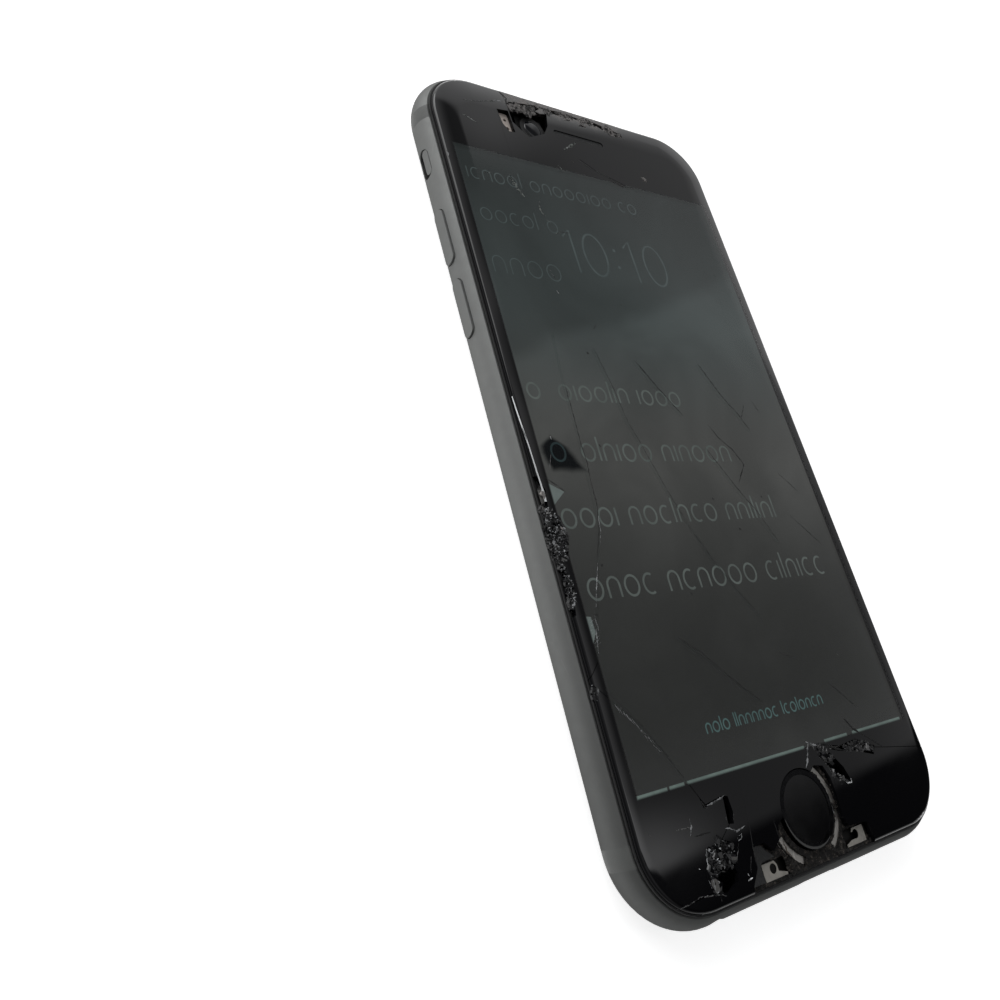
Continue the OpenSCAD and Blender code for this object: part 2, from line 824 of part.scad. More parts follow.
module flash_lens() {
    color([0.9, 0.88, 0.8])
        rod(flash_x, rear_y, back_z + touch, floor_z + 0.3, flash_r - touch);
}

module upper_antenna_flex() {
    color([0.55, 0.35, 0.15])
        block(-corner_x, flash_x - 3, rear_y - 5, rear_y + 5, floor_z + 0.05, floor_z + 0.25);
}

module loudspeaker() {
    nozzle_x1 = corner_x + 1.6;
    color([0.1, 0.1, 0.1]) union() {
        block(8.8, corner_x + 5.2, -corner_y - 6.3, -corner_y + 10.5, floor_z + 0.35, roof_z);
        block(speaker_x0 - 1, nozzle_x1, -wall_y + 0.15, -corner_y - 6.3, mid_z - 1.4, mid_z + 0.9);
    }
}

module vibration_motor() {
    color([0.62, 0.62, 0.6])
        block(-14.5, 5.5, -corner_y + 1.2, -corner_y + 11, floor_z + 0.35, roof_z);
}

module headphone_socket() {
    color([0.07, 0.07, 0.07]) difference() {
        along_y(jack_x, -wall_y + 0.25, jack_l - side_t + 0.25, jack_body_r, mid_z);
        along_y(jack_x, -half_l, jack_l, jack_r, mid_z);
    }
}

module charging_socket() {
    y0 = -wall_y + 0.05;
    color([0.3, 0.3, 0.3]) difference() {
        block(-charge_w / 2 - 0.4, charge_w / 2 + 0.4, y0, y0 + 8.2, mid_z - 1.4, mid_z + 1.4);
        translate([0, y0 + 7.4, mid_z]) rotate([90, 0, 0]) linear_extrude(8)
            rotate(90) stadium(charge_w - 1.2, charge_h - 0.6);
    }
}

module dock_flex() {
    z = floor_z + 0.1;
    y = cell_y0 - 1.8;
    color([0.55, 0.35, 0.15]) union() {
        block(jack_x, corner_x + 3, y, y + 1.4, z, z + 0.15);
        block(-2, 2, -wall_y + 4, y, z, z + 0.15);
    }
}

module microphone() {
    color([0.7, 0.68, 0.6])
        block(mic_x - 1, mic_x + 1, -wall_y + 0.05, -wall_y + 2, mid_z - 1, mid_z + 1);
}

module bottom_screws() {
    color([0.45, 0.45, 0.44])
        for (s = [-1, 1])
            difference() {
                along_y(s * screw_x, -half_l + 0.15, side_t + 0.4, screw_r);
                translate([s * screw_x, -half_l + 0.55, mid_z]) rotate([90, 0, 0])
                    cylinder(r = 0.4, h = over, $fn = 5);
            }
}

rear_housing();
antenna_band(1);  // upper_antenna_band
antenna_band(-1);  // lower_antenna_band
volume_up_button();
volume_down_button();
volume_switch_flex();
ring_switch();
ring_switch_base();
power_button();
power_switch_flex();
sim_tray();
sim_reader();
front_glass();
glass_adhesive();
display_frame();
display_panel();
backlight_unit();
display_shield_plate();
display_flex_cables();
home_button();
home_button_ring();
home_button_sensor();
home_button_gasket();
home_button_plate();
home_button_bracket();
home_button_flex();
earpiece_mesh();
earpiece_speaker();
front_camera();
front_camera_lens();
front_camera_bracket();
light_sensor();
sensor_flex();
battery();
battery_adhesive();
battery_lead();
logic_board();
upper_board_shield();
middle_board_shield();
lower_board_shield();
connector_cover();
board_screws();
rear_camera();
rear_camera_ring();
rear_camera_lens();
flash_lens();
upper_antenna_flex();
loudspeaker();
vibration_motor();
headphone_socket();
charging_socket();
dock_flex();
microphone();
bottom_screws();
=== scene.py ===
import math
import random

import bmesh
import bpy
from mathutils import Matrix, Vector, noise

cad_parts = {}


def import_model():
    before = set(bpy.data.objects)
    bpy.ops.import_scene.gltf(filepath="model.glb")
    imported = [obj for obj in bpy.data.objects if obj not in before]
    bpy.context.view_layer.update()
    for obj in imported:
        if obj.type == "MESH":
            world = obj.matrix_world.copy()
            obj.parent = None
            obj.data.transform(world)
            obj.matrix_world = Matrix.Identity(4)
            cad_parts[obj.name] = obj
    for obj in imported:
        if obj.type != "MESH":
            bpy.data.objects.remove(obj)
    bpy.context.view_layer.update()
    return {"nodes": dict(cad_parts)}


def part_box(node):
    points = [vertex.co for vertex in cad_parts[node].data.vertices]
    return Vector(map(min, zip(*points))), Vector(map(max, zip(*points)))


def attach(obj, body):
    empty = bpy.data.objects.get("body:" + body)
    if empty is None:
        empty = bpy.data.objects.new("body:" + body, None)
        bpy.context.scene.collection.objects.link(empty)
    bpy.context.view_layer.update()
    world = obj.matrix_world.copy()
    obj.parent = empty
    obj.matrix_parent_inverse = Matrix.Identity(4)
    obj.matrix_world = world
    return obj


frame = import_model()
rng = random.Random(7)
MM = 0.001

# ---------------------------------------------------------------- places, all in millimetres in the row frame


def mm_box(node):
    lo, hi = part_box(node)
    return lo / MM, hi / MM


glass_hi = mm_box("front_glass")[1]
housing_lo = mm_box("rear_housing")[0]
button_lo, button_hi = mm_box("home_button")
panel_hi = mm_box("display_panel")[1]
camera_lo, camera_hi = mm_box("front_camera")
FACE_Z = glass_hi.z
GLASS_Z = panel_hi.z + 0.02
HOME = (button_lo + button_hi) / 2
CAMERA = (camera_lo + camera_hi) / 2
GLASS_R = 9.7  # the glass's corner radius
CORNER = Vector((glass_hi.x - GLASS_R, glass_hi.y - GLASS_R))
EDGE_R = 0.55  # how far the glass's outer edge is rounded
HIGH_Z = FACE_Z + 0.18  # nothing modelled here stands above this
PICTURE_X = 29.6
PICTURE_TOP = 51.6
PICTURE_FOOT = -52.3


# ---------------------------------------------------------------- node helpers


class Nodes:
    """A short way to write a material's or the world's node tree."""

    def __init__(self, name):
        self.mat = bpy.data.materials.new(name)
        self.mat.use_nodes = True
        self.tree = self.mat.node_tree
        self.tree.nodes.clear()
        self.out = self.tree.nodes.new("ShaderNodeOutputMaterial")

    def add(self, kind, **sockets):
        n = self.tree.nodes.new("ShaderNode" + kind)
        for key, value in sockets.items():
            self.put(n, key, value)
        return n

    def put(self, n, key, value):
        """Sets a node's property, or one of its sockets by name or by number as i0, i1 and so on."""
        if hasattr(n, key) and key not in n.inputs:
            setattr(n, key, value)
            return
        name = key.replace("_", " ")
        socket = n.inputs[int(key[1:])] if key[0] == "i" and key[1:].isdigit() else None
        if socket is None:
            socket = [s for s in n.inputs if s.name.lower() == name.lower()][0]
        if isinstance(value, bpy.types.NodeSocket):
            self.tree.links.new(value, socket)
        elif isinstance(value, (tuple, list)) and len(value) == 3 and socket.type == "RGBA":
            socket.default_value = (*value, 1.0)
        else:
            socket.default_value = value

    def math(self, op, a, b=0.0, clamp=False):
        n = self.add("Math", operation=op, use_clamp=clamp)
        self.put(n, "i0", a)
        self.put(n, "i1", b)
        return n.outputs[0]

    def mix(self, fac, a, b):
        n = self.tree.nodes.new("ShaderNodeMix")
        n.data_type = "RGBA"
        for socket, value in ((n.inputs[0], fac), (n.inputs[6], a), (n.inputs[7], b)):
            if isinstance(value, bpy.types.NodeSocket):
                self.tree.links.new(value, socket)
            elif isinstance(value, (tuple, list)):
                socket.default_value = (*value, 1.0)
            else:
                socket.default_value = value
        return n.outputs[2]

    def blend(self, a, b, value, low, high):
        """From a to b as value goes from low to high, smoothly."""
        n = self.tree.nodes.new("ShaderNodeMapRange")
        n.interpolation_type = "SMOOTHSTEP"
        for key, v in ((0, value), (1, low), (2, high), (3, a), (4, b)):
            if isinstance(v, bpy.types.NodeSocket):
                self.tree.links.new(v, n.inputs[key])
            else:
                n.inputs[key].default_value = v
        return n.outputs[0]

    def place(self):
        """X, Y and Z on the object, in millimetres."""
        tc = self.tree.nodes.new("ShaderNodeTexCoord")
        sep = self.add("SeparateXYZ", Vector=tc.outputs["Object"])
        return tc.outputs["Object"], [self.math("MULTIPLY", sep.outputs[i], 1000.0) for i in range(3)]

    def noise(self, vector, per_mm, detail=3.0, rough=0.55, distort=0.0):
        """Noise with about per_mm waves to a millimetre."""
        n = self.add("TexNoise", Vector=vector, Scale=per_mm * 1000.0, Detail=detail, Roughness=rough,
                     Distortion=distort)
        return n.outputs["Fac"]

    def bump(self, height, strength, depth_mm):
        n = self.add("Bump", Height=height, Strength=strength, Distance=depth_mm * MM)
        return n.outputs["Normal"]

    def close(self, shader):
        self.tree.links.new(shader, self.out.inputs["Surface"])
        return self.mat


def scratches(n, vector, per_mm, stretch, turn, thin=0.008):
    """Fine straight scratches: the edges of cells that are stretched along one direction."""
    m = n.add("Mapping", Vector=vector, Rotation=(0.0, 0.0, turn), Scale=(1.0, stretch, 1.0))
    v = n.add("TexVoronoi", Vector=m.outputs[0], Scale=per_mm * 1000.0, feature="DISTANCE_TO_EDGE")
    return n.blend(1.0, 0.0, v.outputs["Distance"], 0.0, thin)


def metal(name, colour, rough, grain=14.0, wear=0.5, tint=0.06, metallic=1.0, vary=0.08, rim=1.0,
          foot_darkening=0.0):
    """Fine-grained metal with worn scratches, its colour darker towards the phone's foot by the amount in the last
    argument when that is above 0.
    """
    n = Nodes(name)
    pos, (_, y, _) = n.place()
    broad = n.noise(pos, 0.05, 3.0)
    fine = n.noise(pos, grain, 2.0)
    cloud = n.noise(pos, 0.6, 4.0)
    marks = scratches(n, pos, 0.12, 0.25, 0.6)
    patch = n.blend(0.0, 1.0, n.noise(pos, 0.35, 3.0), 0.52, 0.66)
    marks = n.math("MULTIPLY", marks, n.math("MULTIPLY", patch, wear))
    dark = tuple(c * (1 - tint) for c in colour)
    light = tuple(min(1.0, c * (1 + tint)) for c in colour)
    worn = tuple(min(1.0, c * 1.5 + 0.03) for c in colour)
    base = n.mix(broad, dark, light)
    base = n.mix(marks, base, worn)
    # darker base colour towards the phone's foot: a gradient along y, broken by broad noise
    if foot_darkening:
        noisy_y = n.math("ADD", y, n.math("MULTIPLY", broad, 6.0))
        base = n.mix(n.blend(foot_darkening, 0.0, noisy_y, -62.0, -5.0), base, tuple(c * 0.45 for c in colour))
    r = n.blend(rough - vary, rough + vary, cloud, 0.3, 0.7)
    r = n.math("ADD", r, n.math("MULTIPLY", fine, 0.05))
    height = n.math("ADD", n.math("MULTIPLY", fine, 0.6), n.math("MULTIPLY", marks, -0.8))
    b = n.add("BsdfPrincipled", Base_Color=base, Roughness=r, Normal=n.bump(height, 0.35, 0.006))
    b.inputs["Metallic"].default_value = metallic
    b.inputs["Specular Tint"].default_value = (rim, rim, rim, 1.0)
    return n.close(b.outputs[0])


def lug_metal(name, colour, level):
    """Bright metal where it stands above a level; below it near black, for glue and painted shadow."""
    n = Nodes(name)
    pos, (x, y, z) = n.place()
    stain = n.noise(pos, 0.7, 4.0)
    fine = n.noise(pos, 9.0, 3.0)
    top = n.mix(n.blend(0.0, 0.5, stain, 0.5, 0.7), colour, tuple(c * 0.5 for c in colour))
    # below the level the colour turns near black: glue, and painted shadow below the lugs' top
    base = n.mix(n.blend(0.0, 1.0, z, level - 0.12, level - 0.02), (0.006, 0.005, 0.0045), top)
    b = n.add("BsdfPrincipled", Base_Color=base, Roughness=n.blend(0.4, 0.6, fine, 0.3, 0.7),
              Normal=n.bump(fine, 0.4, 0.02))
    b.inputs["Metallic"].default_value = 0.3
    return n.close(b.outputs[0])


def plastic(name, colour, rough, grain=6.0, bump=0.3, depth=0.01, coat=0.0, tint=0.2, dust=0.12):
    """Plastic, rubber or film with a fine surface and specks of dust."""
    n = Nodes(name)
    pos, _ = n.place()
    broad = n.noise(pos, 0.12, 3.0)
    fine = n.noise(pos, grain, 3.0)
    dirt = n.blend(0.0, dust, n.noise(pos, 1.1, 4.0), 0.55, 0.75)
    dark = tuple(c * (1 - tint) for c in colour)
    light = tuple(min(1.0, c * (1 + tint)) for c in colour)
    base = n.mix(dirt, n.mix(broad, dark, light), (0.12, 0.115, 0.105))
    r = n.blend(max(0.02, rough - 0.08), rough + 0.1, fine, 0.3, 0.7)
    b = n.add("BsdfPrincipled", Base_Color=base, Roughness=r, Normal=n.bump(fine, bump, depth))
    b.inputs["Coat Weight"].default_value = coat
    b.inputs["Coat Roughness"].default_value = 0.08
    return n.close(b.outputs[0])


# ---------------------------------------------------------------- glass


def cover_glass():
    """The front glass: black ink round the picture, clear over it, with fine scratches, dust and powder."""
    n = Nodes("cover_glass")
    pos, (x, y, z) = n.place()
    across = n.math("SUBTRACT", n.math("ABSOLUTE", x), PICTURE_X)
    above = n.math("SUBTRACT", y, PICTURE_TOP)
    below = n.math("SUBTRACT", PICTURE_FOOT, y)
    edge = n.math("MAXIMUM", across, n.math("MAXIMUM", above, below))
    geo = n.add("NewGeometry")
    outer = n.math("SUBTRACT", 1.0, geo.outputs["Backfacing"])
    ink = n.math("MULTIPLY", n.blend(0.0, 1.0, edge, -0.15, 0.2), outer)
    smear = n.noise(pos, 0.045, 3.0, distort=1.5)
    dust = n.blend(0.0, 1.0, n.noise(pos, 2.4, 4.0), 0.66, 0.8)
    hair = scratches(n, pos, 0.05, 0.12, 0.35, 0.0015)
    hair = n.math("MULTIPLY", hair, n.blend(0.0, 1.0, n.noise(pos, 0.1, 2.0), 0.5, 0.6))
    rough = n.blend(0.015, 0.06, smear, 0.35, 0.7)
    # the face bends down a little towards its edges
    out_x = n.math("MAXIMUM", n.math("SUBTRACT", n.math("ABSOLUTE", x), CORNER.x), 0.0)
    out_y = n.math("MAXIMUM", n.math("SUBTRACT", n.math("ABSOLUTE", y), CORNER.y), 0.0)
    r = n.math("SQRT", n.math("ADD", n.math("MULTIPLY", out_x, out_x), n.math("MULTIPLY", out_y, out_y)))
    start = n.blend(GLASS_R - 1.7, GLASS_R - 3.4, y, -22.0, 2.0)
    start = n.math("SUBTRACT", start, n.blend(0.0, 1.9, y, 4.0, 22.0))
    s = n.math("MAXIMUM", n.math("SUBTRACT", r, start), 0.0)
    sag = n.math("MULTIPLY", n.math("MULTIPLY", s, s), -0.03)
    height = n.math("ADD", sag, n.math("MULTIPLY", n.noise(pos, 0.02, 1.0), 0.06))
    height = n.math("SUBTRACT", height, n.math("MULTIPLY", hair, 0.002))
    up = n.add("SeparateXYZ", Vector=geo.outputs["True Normal"]).outputs[2]
    level = n.math("GREATER_THAN", up, 0.999)
    flat = n.tree.nodes.new("ShaderNodeMix")
    flat.data_type = "VECTOR"
    n.tree.links.new(level, flat.inputs[0])
    n.tree.links.new(geo.outputs["Normal"], flat.inputs[4])
    n.tree.links.new(geo.outputs["True Normal"], flat.inputs[5])
    bump = n.add("Bump", Height=height, Strength=1.0, Distance=MM, Normal=flat.outputs[1])
    normal = bump.outputs["Normal"]
    black = n.mix(n.math("MULTIPLY", dust, 0.1), (0.0035, 0.0035, 0.0042), (0.1, 0.1, 0.1))
    # powdered glass smeared along the broken top edge and round the camera's hole
    cloud = n.math("ADD", n.math("MULTIPLY", n.noise(pos, 0.45, 4.0, 0.6), 4.2), y)
    powder = n.math("MULTIPLY", n.blend(0.0, 1.0, cloud, 65.9, 68.0), n.blend(0.0, 1.0, x, -17.0, -13.5))
    powder = n.math("MULTIPLY", powder, n.blend(1.0, 0.0, x, 9.5, 13.0))
    powder = n.math("MULTIPLY", powder, n.blend(0.15, 1.0, n.noise(pos, 1.6, 5.0, 0.7), 0.4, 0.62))
    black = n.mix(powder, black, (0.17, 0.155, 0.148))
    rough_solid = n.math("ADD", rough, n.math("MULTIPLY", powder, 0.5))
    # the rounded edge is worn duller than the face
    shine_level = n.blend(0.1, 0.5, up, 0.7, 0.999)
    solid = n.add("BsdfPrincipled", Base_Color=black, Roughness=rough_solid, Normal=normal,
                  Specular_IOR_Level=shine_level)
    solid.inputs["IOR"].default_value = 1.5
    clear = n.add("BsdfTransparent", Color=(0.965, 0.975, 0.972))
    shine = n.add("BsdfGlossy", Color=(1.0, 1.0, 1.0), Roughness=rough, Normal=normal)
    fresnel = n.add("Fresnel", IOR=1.5, Normal=normal).outputs[0]
    fac = n.math("MULTIPLY", fresnel, outer)
    window = n.add("MixShader", i0=fac, i1=clear.outputs[0], i2=shine.outputs[0])
    whole = n.add("MixShader", i0=ink, i1=window.outputs[0], i2=solid.outputs[0])
    return n.close(whole.outputs[0])


def lens_glass(name, colour, coat=1.0):
    """Dark or tinted glass with a clear coat, its shine broken by faint smears."""
    n = Nodes(name)
    pos, _ = n.place()
    swirl = n.noise(pos, 0.6, 2.0)
    base = n.mix(swirl, colour, tuple(c * 1.6 for c in colour))
    r = n.blend(0.02, 0.07, n.noise(pos, 3.0, 2.0), 0.4, 0.7)
    b = n.add("BsdfPrincipled", Base_Color=base, Roughness=r)
    b.inputs["Coat Weight"].default_value = coat
    b.inputs["Coat Roughness"].default_value = 0.02
    return n.close(b.outputs[0])


def picture():
    """The display behind the glass: a dim grey-green picture, soft fields of light and an ink bleed."""
    n = Nodes("picture")
    pos, (x, y, z) = n.place()
    cloud = n.noise(pos, 0.035, 3.0, distort=0.8)
    glow = n.blend(0.021, 0.061, y, -34.0, -3.0)
    slope = n.math("ADD", n.math("MULTIPLY", x, -0.34), n.math("MULTIPLY", y, 0.94))
    wave = n.math("MULTIPLY", n.math("SUBTRACT", n.noise(pos, 0.06, 1.0), 0.5), 7.0)
    shade = n.blend(1.0, 0.66, n.math("ADD", slope, wave), 19.5, 23.5)
    fall = n.blend(1.0, 0.6, y, 28.0, 52.0)
    glow = n.math("MULTIPLY", glow, n.math("MULTIPLY", shade, fall))
    glow = n.math("MULTIPLY", glow, n.blend(0.86, 1.14, cloud, 0.35, 0.65))
    wobble = n.math("MULTIPLY", n.math("SUBTRACT", n.noise(pos, 0.3, 2.0), 0.5), 0.9)
    bleed = n.math("SUBTRACT", -28.7, x)
    for a, b, c in ((-0.845, 0.535, 22.6), (0.86, 0.51, -22.2), (0.0, -1.0, 7.1), (-0.917, -0.4, 28.07)):
        side = n.math("ADD", n.math("MULTIPLY", x, a), n.math("MULTIPLY", y, b))
        bleed = n.math("MAXIMUM", bleed, n.math("SUBTRACT", side, c))
    bleed = n.math("ADD", bleed, wobble)
    bleed = n.math("ADD", bleed, n.blend(1.5, 0.0, y, -1.2, -3.6))
    bleed = n.blend(1.0, 0.0, bleed, -0.7, 0.6)
    tint = n.mix(n.blend(0.0, 1.0, y, -5.0, 25.0), (1.0, 1.0, 0.96), (0.83, 1.0, 1.0))
    tone = n.add("VectorMath", operation="SCALE", i0=tint, Scale=glow).outputs[0]
    base = n.mix(n.math("MULTIPLY", bleed, 0.99), tone, (0.0, 0.0008, 0.0014))
    body = n.mix(bleed, (0.012, 0.013, 0.013), (0.0006, 0.0008, 0.001))
    r = n.blend(0.3, 0.42, n.noise(pos, 1.5, 2.0), 0.3, 0.7)
    b = n.add("BsdfPrincipled", Base_Color=body, Roughness=r, Emission_Color=base)
    b.inputs["Emission Strength"].default_value = 0.9
    b.inputs["Specular IOR Level"].default_value = 0.0
    return n.close(b.outputs[0])


def faint_print(name, colour):
    """A faint glowing print on the display."""
    n = Nodes(name)
    pos, _ = n.place()
    patchy = n.blend(0.55, 1.0, n.noise(pos, 0.35, 3.0), 0.35, 0.65)
    glow = n.mix(patchy, tuple(c * 0.5 for c in colour), colour)
    b = n.add("BsdfPrincipled", Base_Color=(0.01, 0.012, 0.012), Emission_Color=glow)
    b.inputs["Emission Strength"].default_value = 1.0
    b.inputs["Roughness"].default_value = 0.4
    b.inputs["Specular IOR Level"].default_value = 0.0
    return n.close(b.outputs[0])


def broken_glass(name, colour, rough, clear=0.0, metallic=0.0):
    """Broken glass: each facet a little different, partly clear where clear is above 0."""
    n = Nodes(name)
    pos, _ = n.place()
    cell = n.add("TexVoronoi", Vector=pos, Scale=2400.0)
    grain = n.noise(pos, 5.0, 3.0)
    tone = n.blend(0.0, 1.0, cell.outputs["Color"], 0.15, 0.85)
    base = n.mix(tone, tuple(c * 0.3 for c in colour), colour)
    r = n.blend(max(0.02, rough - 0.1), rough + 0.15, grain, 0.3, 0.7)
    b = n.add("BsdfPrincipled", Base_Color=base, Roughness=r, Normal=n.bump(grain, 0.4, 0.03))
    b.inputs["IOR"].default_value = 1.52
    b.inputs["Metallic"].default_value = metallic
    if clear == 0.0:
        return n.close(b.outputs[0])
    see = n.add("BsdfTransparent", Color=(0.9, 0.92, 0.92))
    both = n.add("MixShader", i0=n.blend(0.0, clear, tone, 1.0, 0.0), i1=b.outputs[0], i2=see.outputs[0])
    return n.close(both.outputs[0])


def glue(name):
    """Black glue and powdered glass left where the cover has gone."""
    n = Nodes(name)
    pos, _ = n.place()
    lump = n.noise(pos, 1.2, 5.0, 0.65)
    fine = n.noise(pos, 5.0, 4.0, 0.7)
    powder = n.blend(0.0, 1.0, n.math("ADD", n.math("MULTIPLY", lump, 0.5), n.math("MULTIPLY", fine, 0.5)),
                     0.5, 0.62)
    base = n.mix(powder, (0.005, 0.0044, 0.004), (0.075, 0.065, 0.056))
    r = n.blend(0.45, 0.8, fine, 0.3, 0.7)
    height = n.math("ADD", lump, n.math("MULTIPLY", fine, 0.5))
    b = n.add("BsdfPrincipled", Base_Color=base, Roughness=r, Normal=n.bump(height, 0.8, 0.1))
    b.inputs["Specular IOR Level"].default_value = 0.25
    return n.close(b.outputs[0])


# ---------------------------------------------------------------- mesh helpers


def new_mesh(name, mat):
    """An empty bmesh and a function that turns it into a piece riding on the phone's body."""
    bm = bmesh.new()

    def done():
        me = bpy.data.meshes.new(name)
        bmesh.ops.recalc_face_normals(bm, faces=bm.faces)
        bm.to_mesh(me)
        bm.free()
        me.transform(Matrix.Scale(MM, 4))
        ob = bpy.data.objects.new(name, me)
        bpy.context.scene.collection.objects.link(ob)
        me.materials.append(mat)
        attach(ob, "phone")
        return ob

    return bm, done


def inside(p, poly):
    """Whether the point p is inside the polygon."""
    hit = False
    for i in range(len(poly)):
        a = poly[i]
        b = poly[i - 1]
        if (a[1] > p[1]) != (b[1] > p[1]):
            if p[0] < (b[0] - a[0]) * (p[1] - a[1]) / (b[1] - a[1]) + a[0]:
                hit = not hit
    return hit


def face_z(x, y):
    """The height of the glass's outer surface: level, then rounded down at its edge."""
    r = math.hypot(max(abs(x) - CORNER.x, 0), max(abs(y) - CORNER.y, 0))
    past = min(max(r - (GLASS_R - EDGE_R), 0), EDGE_R)
    return FACE_Z - EDGE_R + math.sqrt(EDGE_R ** 2 - past ** 2)


def flake(bm, centre, size, thick, lean, long=1.0, turn=None):
    """One flake of glass: a lopsided flat block with four to six corners, leaning, kept below HIGH_Z."""
    spin = Matrix.Rotation(rng.uniform(0, math.tau) if turn is None else turn, 3, "Z")
    axis = Vector((rng.uniform(-1, 1), rng.uniform(-1, 1), 0.001)).normalized()
    tip = Matrix.Rotation(rng.uniform(-lean, lean), 3, axis)
    count = rng.randint(4, 6)
    plan = []
    for i in range(count):
        a = math.tau * (i + rng.uniform(-0.3, 0.3)) / count
        r = size * rng.uniform(0.28, 0.6)
        plan.append((math.cos(a) * r * long, math.sin(a) * r))
    rings = []
    for level in (-0.5, 0.5):
        taper = 1.0 if level < 0 else rng.uniform(0.6, 1.0)
        rings.append([
            bm.verts.new(Vector(centre) + tip @ (spin @ Vector((px * taper, py * taper, level * thick))))
            for px, py in plan
        ])
    over = max(v.co.z for ring in rings for v in ring) - HIGH_Z
    for v in rings[0] + rings[1]:
        v.co.z -= max(over, 0.0)
    bm.faces.new(rings[0][::-1])
    bm.faces.new(rings[1])
    for i in range(count):
        j = (i + 1) % count
        bm.faces.new((rings[0][i], rings[0][j], rings[1][j], rings[1][i]))


def scatter(name, mat, areas, count, small, large, drop=0.1, lean=0.5, thick=0.3):
    """Flakes over some areas, count to a square millimetre, sunk by drop below the face."""
    bm, done = new_mesh(name, mat)
    for poly in areas:
        xs = [p[0] for p in poly]
        ys = [p[1] for p in poly]
        tries = int(count * (max(xs) - min(xs)) * (max(ys) - min(ys)))
        for _ in range(tries):
            p = (rng.uniform(min(xs), max(xs)), rng.uniform(min(ys), max(ys)))
            size = small + (large - small) * rng.random() ** 2
            if not inside(p, poly):
                continue
            z = min(face_z(*p) - drop * rng.uniform(0.3, 1.0), HIGH_Z - size * thick)
            flake(bm, (p[0], p[1], z), size, size * thick, lean)
    return done()


def ribbon(bm, points, width, lift=0.0, jitter=0.0, step=0.35, level=None):
    """A thin crack line on the face, or at a level of its own: a low ridge of facets, uneven in width."""
    path = []
    for a, b in zip(points, points[1:]):
        a, b = Vector(a), Vector(b)
        count = max(1, int((b - a).length / step))
        path += [a.lerp(b, i / count) for i in range(count)]
    path.append(Vector(points[-1]))
    rows = []
    for i, p in enumerate(path):
        ahead = (path[min(i + 1, len(path) - 1)] - path[max(i - 1, 0)]).normalized()
        side = Vector((-ahead.y, ahead.x))
        taper = min(1.0, 0.25 + 0.75 * min(i, len(path) - 1 - i) / 4)
        w = width * taper * rng.uniform(0.35, 1.35)
        p = p + side * rng.uniform(-jitter, jitter)
        z = face_z(p.x, p.y) + 0.004 if level is None else level
        rows.append((bm.verts.new((p.x - side.x * w / 2, p.y - side.y * w / 2, z)),
                     bm.verts.new((p.x, p.y, z + lift * rng.uniform(0.2, 1.0))),
                     bm.verts.new((p.x + side.x * w / 2, p.y + side.y * w / 2, z))))
    for a, b in zip(rows, rows[1:]):
        bm.faces.new((a[0], a[1], b[1], b[0]))
        bm.faces.new((a[1], a[2], b[2], b[1]))


def lines(name, mat, paths, lift=0.01, jitter=0.05, step=0.35, level=None):
    """One piece made of many crack lines."""
    bm, done = new_mesh(name, mat)
    for points, width in paths:
        ribbon(bm, points, width, lift, jitter, step, level)
    return done()


def facet(bm, points, z, slope_x, slope_y, thick=0.12):
    """A flat tilted splinter of glass with the outline given."""
    cx = sum(p[0] for p in points) / len(points)
    cy = sum(p[1] for p in points) / len(points)
    rings = [[bm.verts.new((x, y, z - drop + slope_x * (x - cx) + slope_y * (y - cy))) for x, y in points]
             for drop in (0.0, thick)]
    bm.faces.new(rings[0])
    bm.faces.new(rings[1][::-1])
    for i in range(len(points)):
        j = (i + 1) % len(points)
        bm.faces.new((rings[0][i], rings[0][j], rings[1][j], rings[1][i]))


def rubble(name, mat, keep, floor_z, rough_mm, cell=0.16):
    """A crust of broken glue: a grid of small cells, kept where keep(x, y) says so, with a broken surface."""
    bm, done = new_mesh(name, mat)
    x0, x1, y0, y1 = -16.0, 13.5, -67.4, -54.0  # the gap round the home button lies inside these
    made = {}

    def corner(i, j):
        if (i, j) not in made:
            x, y = x0 + i * cell, y0 + j * cell
            at = Vector((x * 1.1, y * 1.1, 3.7))
            h = noise.fractal(at, 0.6, 2.3, 5) * 0.5 + 0.35 * noise.cell(at * 2.1)
            made[i, j] = bm.verts.new((x + rng.uniform(-0.03, 0.03), y + rng.uniform(-0.03, 0.03),
                                       floor_z(x, y) + rough_mm * max(-0.6, min(1.0, h))))
        return made[i, j]

    for i in range(int((x1 - x0) / cell)):
        for j in range(int((y1 - y0) / cell)):
            if keep(x0 + (i + 0.5) * cell, y0 + (j + 0.5) * cell):
                bm.faces.new((corner(i, j), corner(i + 1, j), corner(i + 1, j + 1), corner(i, j + 1)))
    return done()


# ---------------------------------------------------------------- materials on the CAD pieces

aluminium = metal("anodised_aluminium", (0.2, 0.204, 0.2), 0.58, wear=0.15, tint=0.03, vary=0.02, rim=0.4,
                  foot_darkening=0.7)
steel = metal("bare_steel", (0.56, 0.54, 0.51), 0.42, grain=7.0, wear=0.8, tint=0.12)
lug_steel = lug_metal("lug_steel", (0.34, 0.325, 0.295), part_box("home_button_bracket")[1].z / MM)
ring_black = metal("ring_black", (0.022, 0.022, 0.024), 0.22, grain=9.0, wear=0.2)
dark_steel = metal("dark_steel", (0.09, 0.092, 0.095), 0.3, grain=9.0, wear=0.3)
tan_metal = metal("tan_metal", (0.55, 0.49, 0.45), 0.5, grain=5.0, wear=0.8, tint=0.2, metallic=0.3)
band_plastic = plastic("band_plastic", (0.075, 0.078, 0.075), 0.55, grain=9.0, tint=0.05, dust=0.03)
black_plastic = plastic("black_plastic", (0.003, 0.003, 0.0032), 0.5, dust=0.03)
rubber = plastic("black_rubber", (0.006, 0.006, 0.006), 0.7)
mesh_cloth = plastic("mesh_cloth", (0.012, 0.013, 0.014), 0.6, grain=9.0, bump=0.8, depth=0.05, dust=0.3)
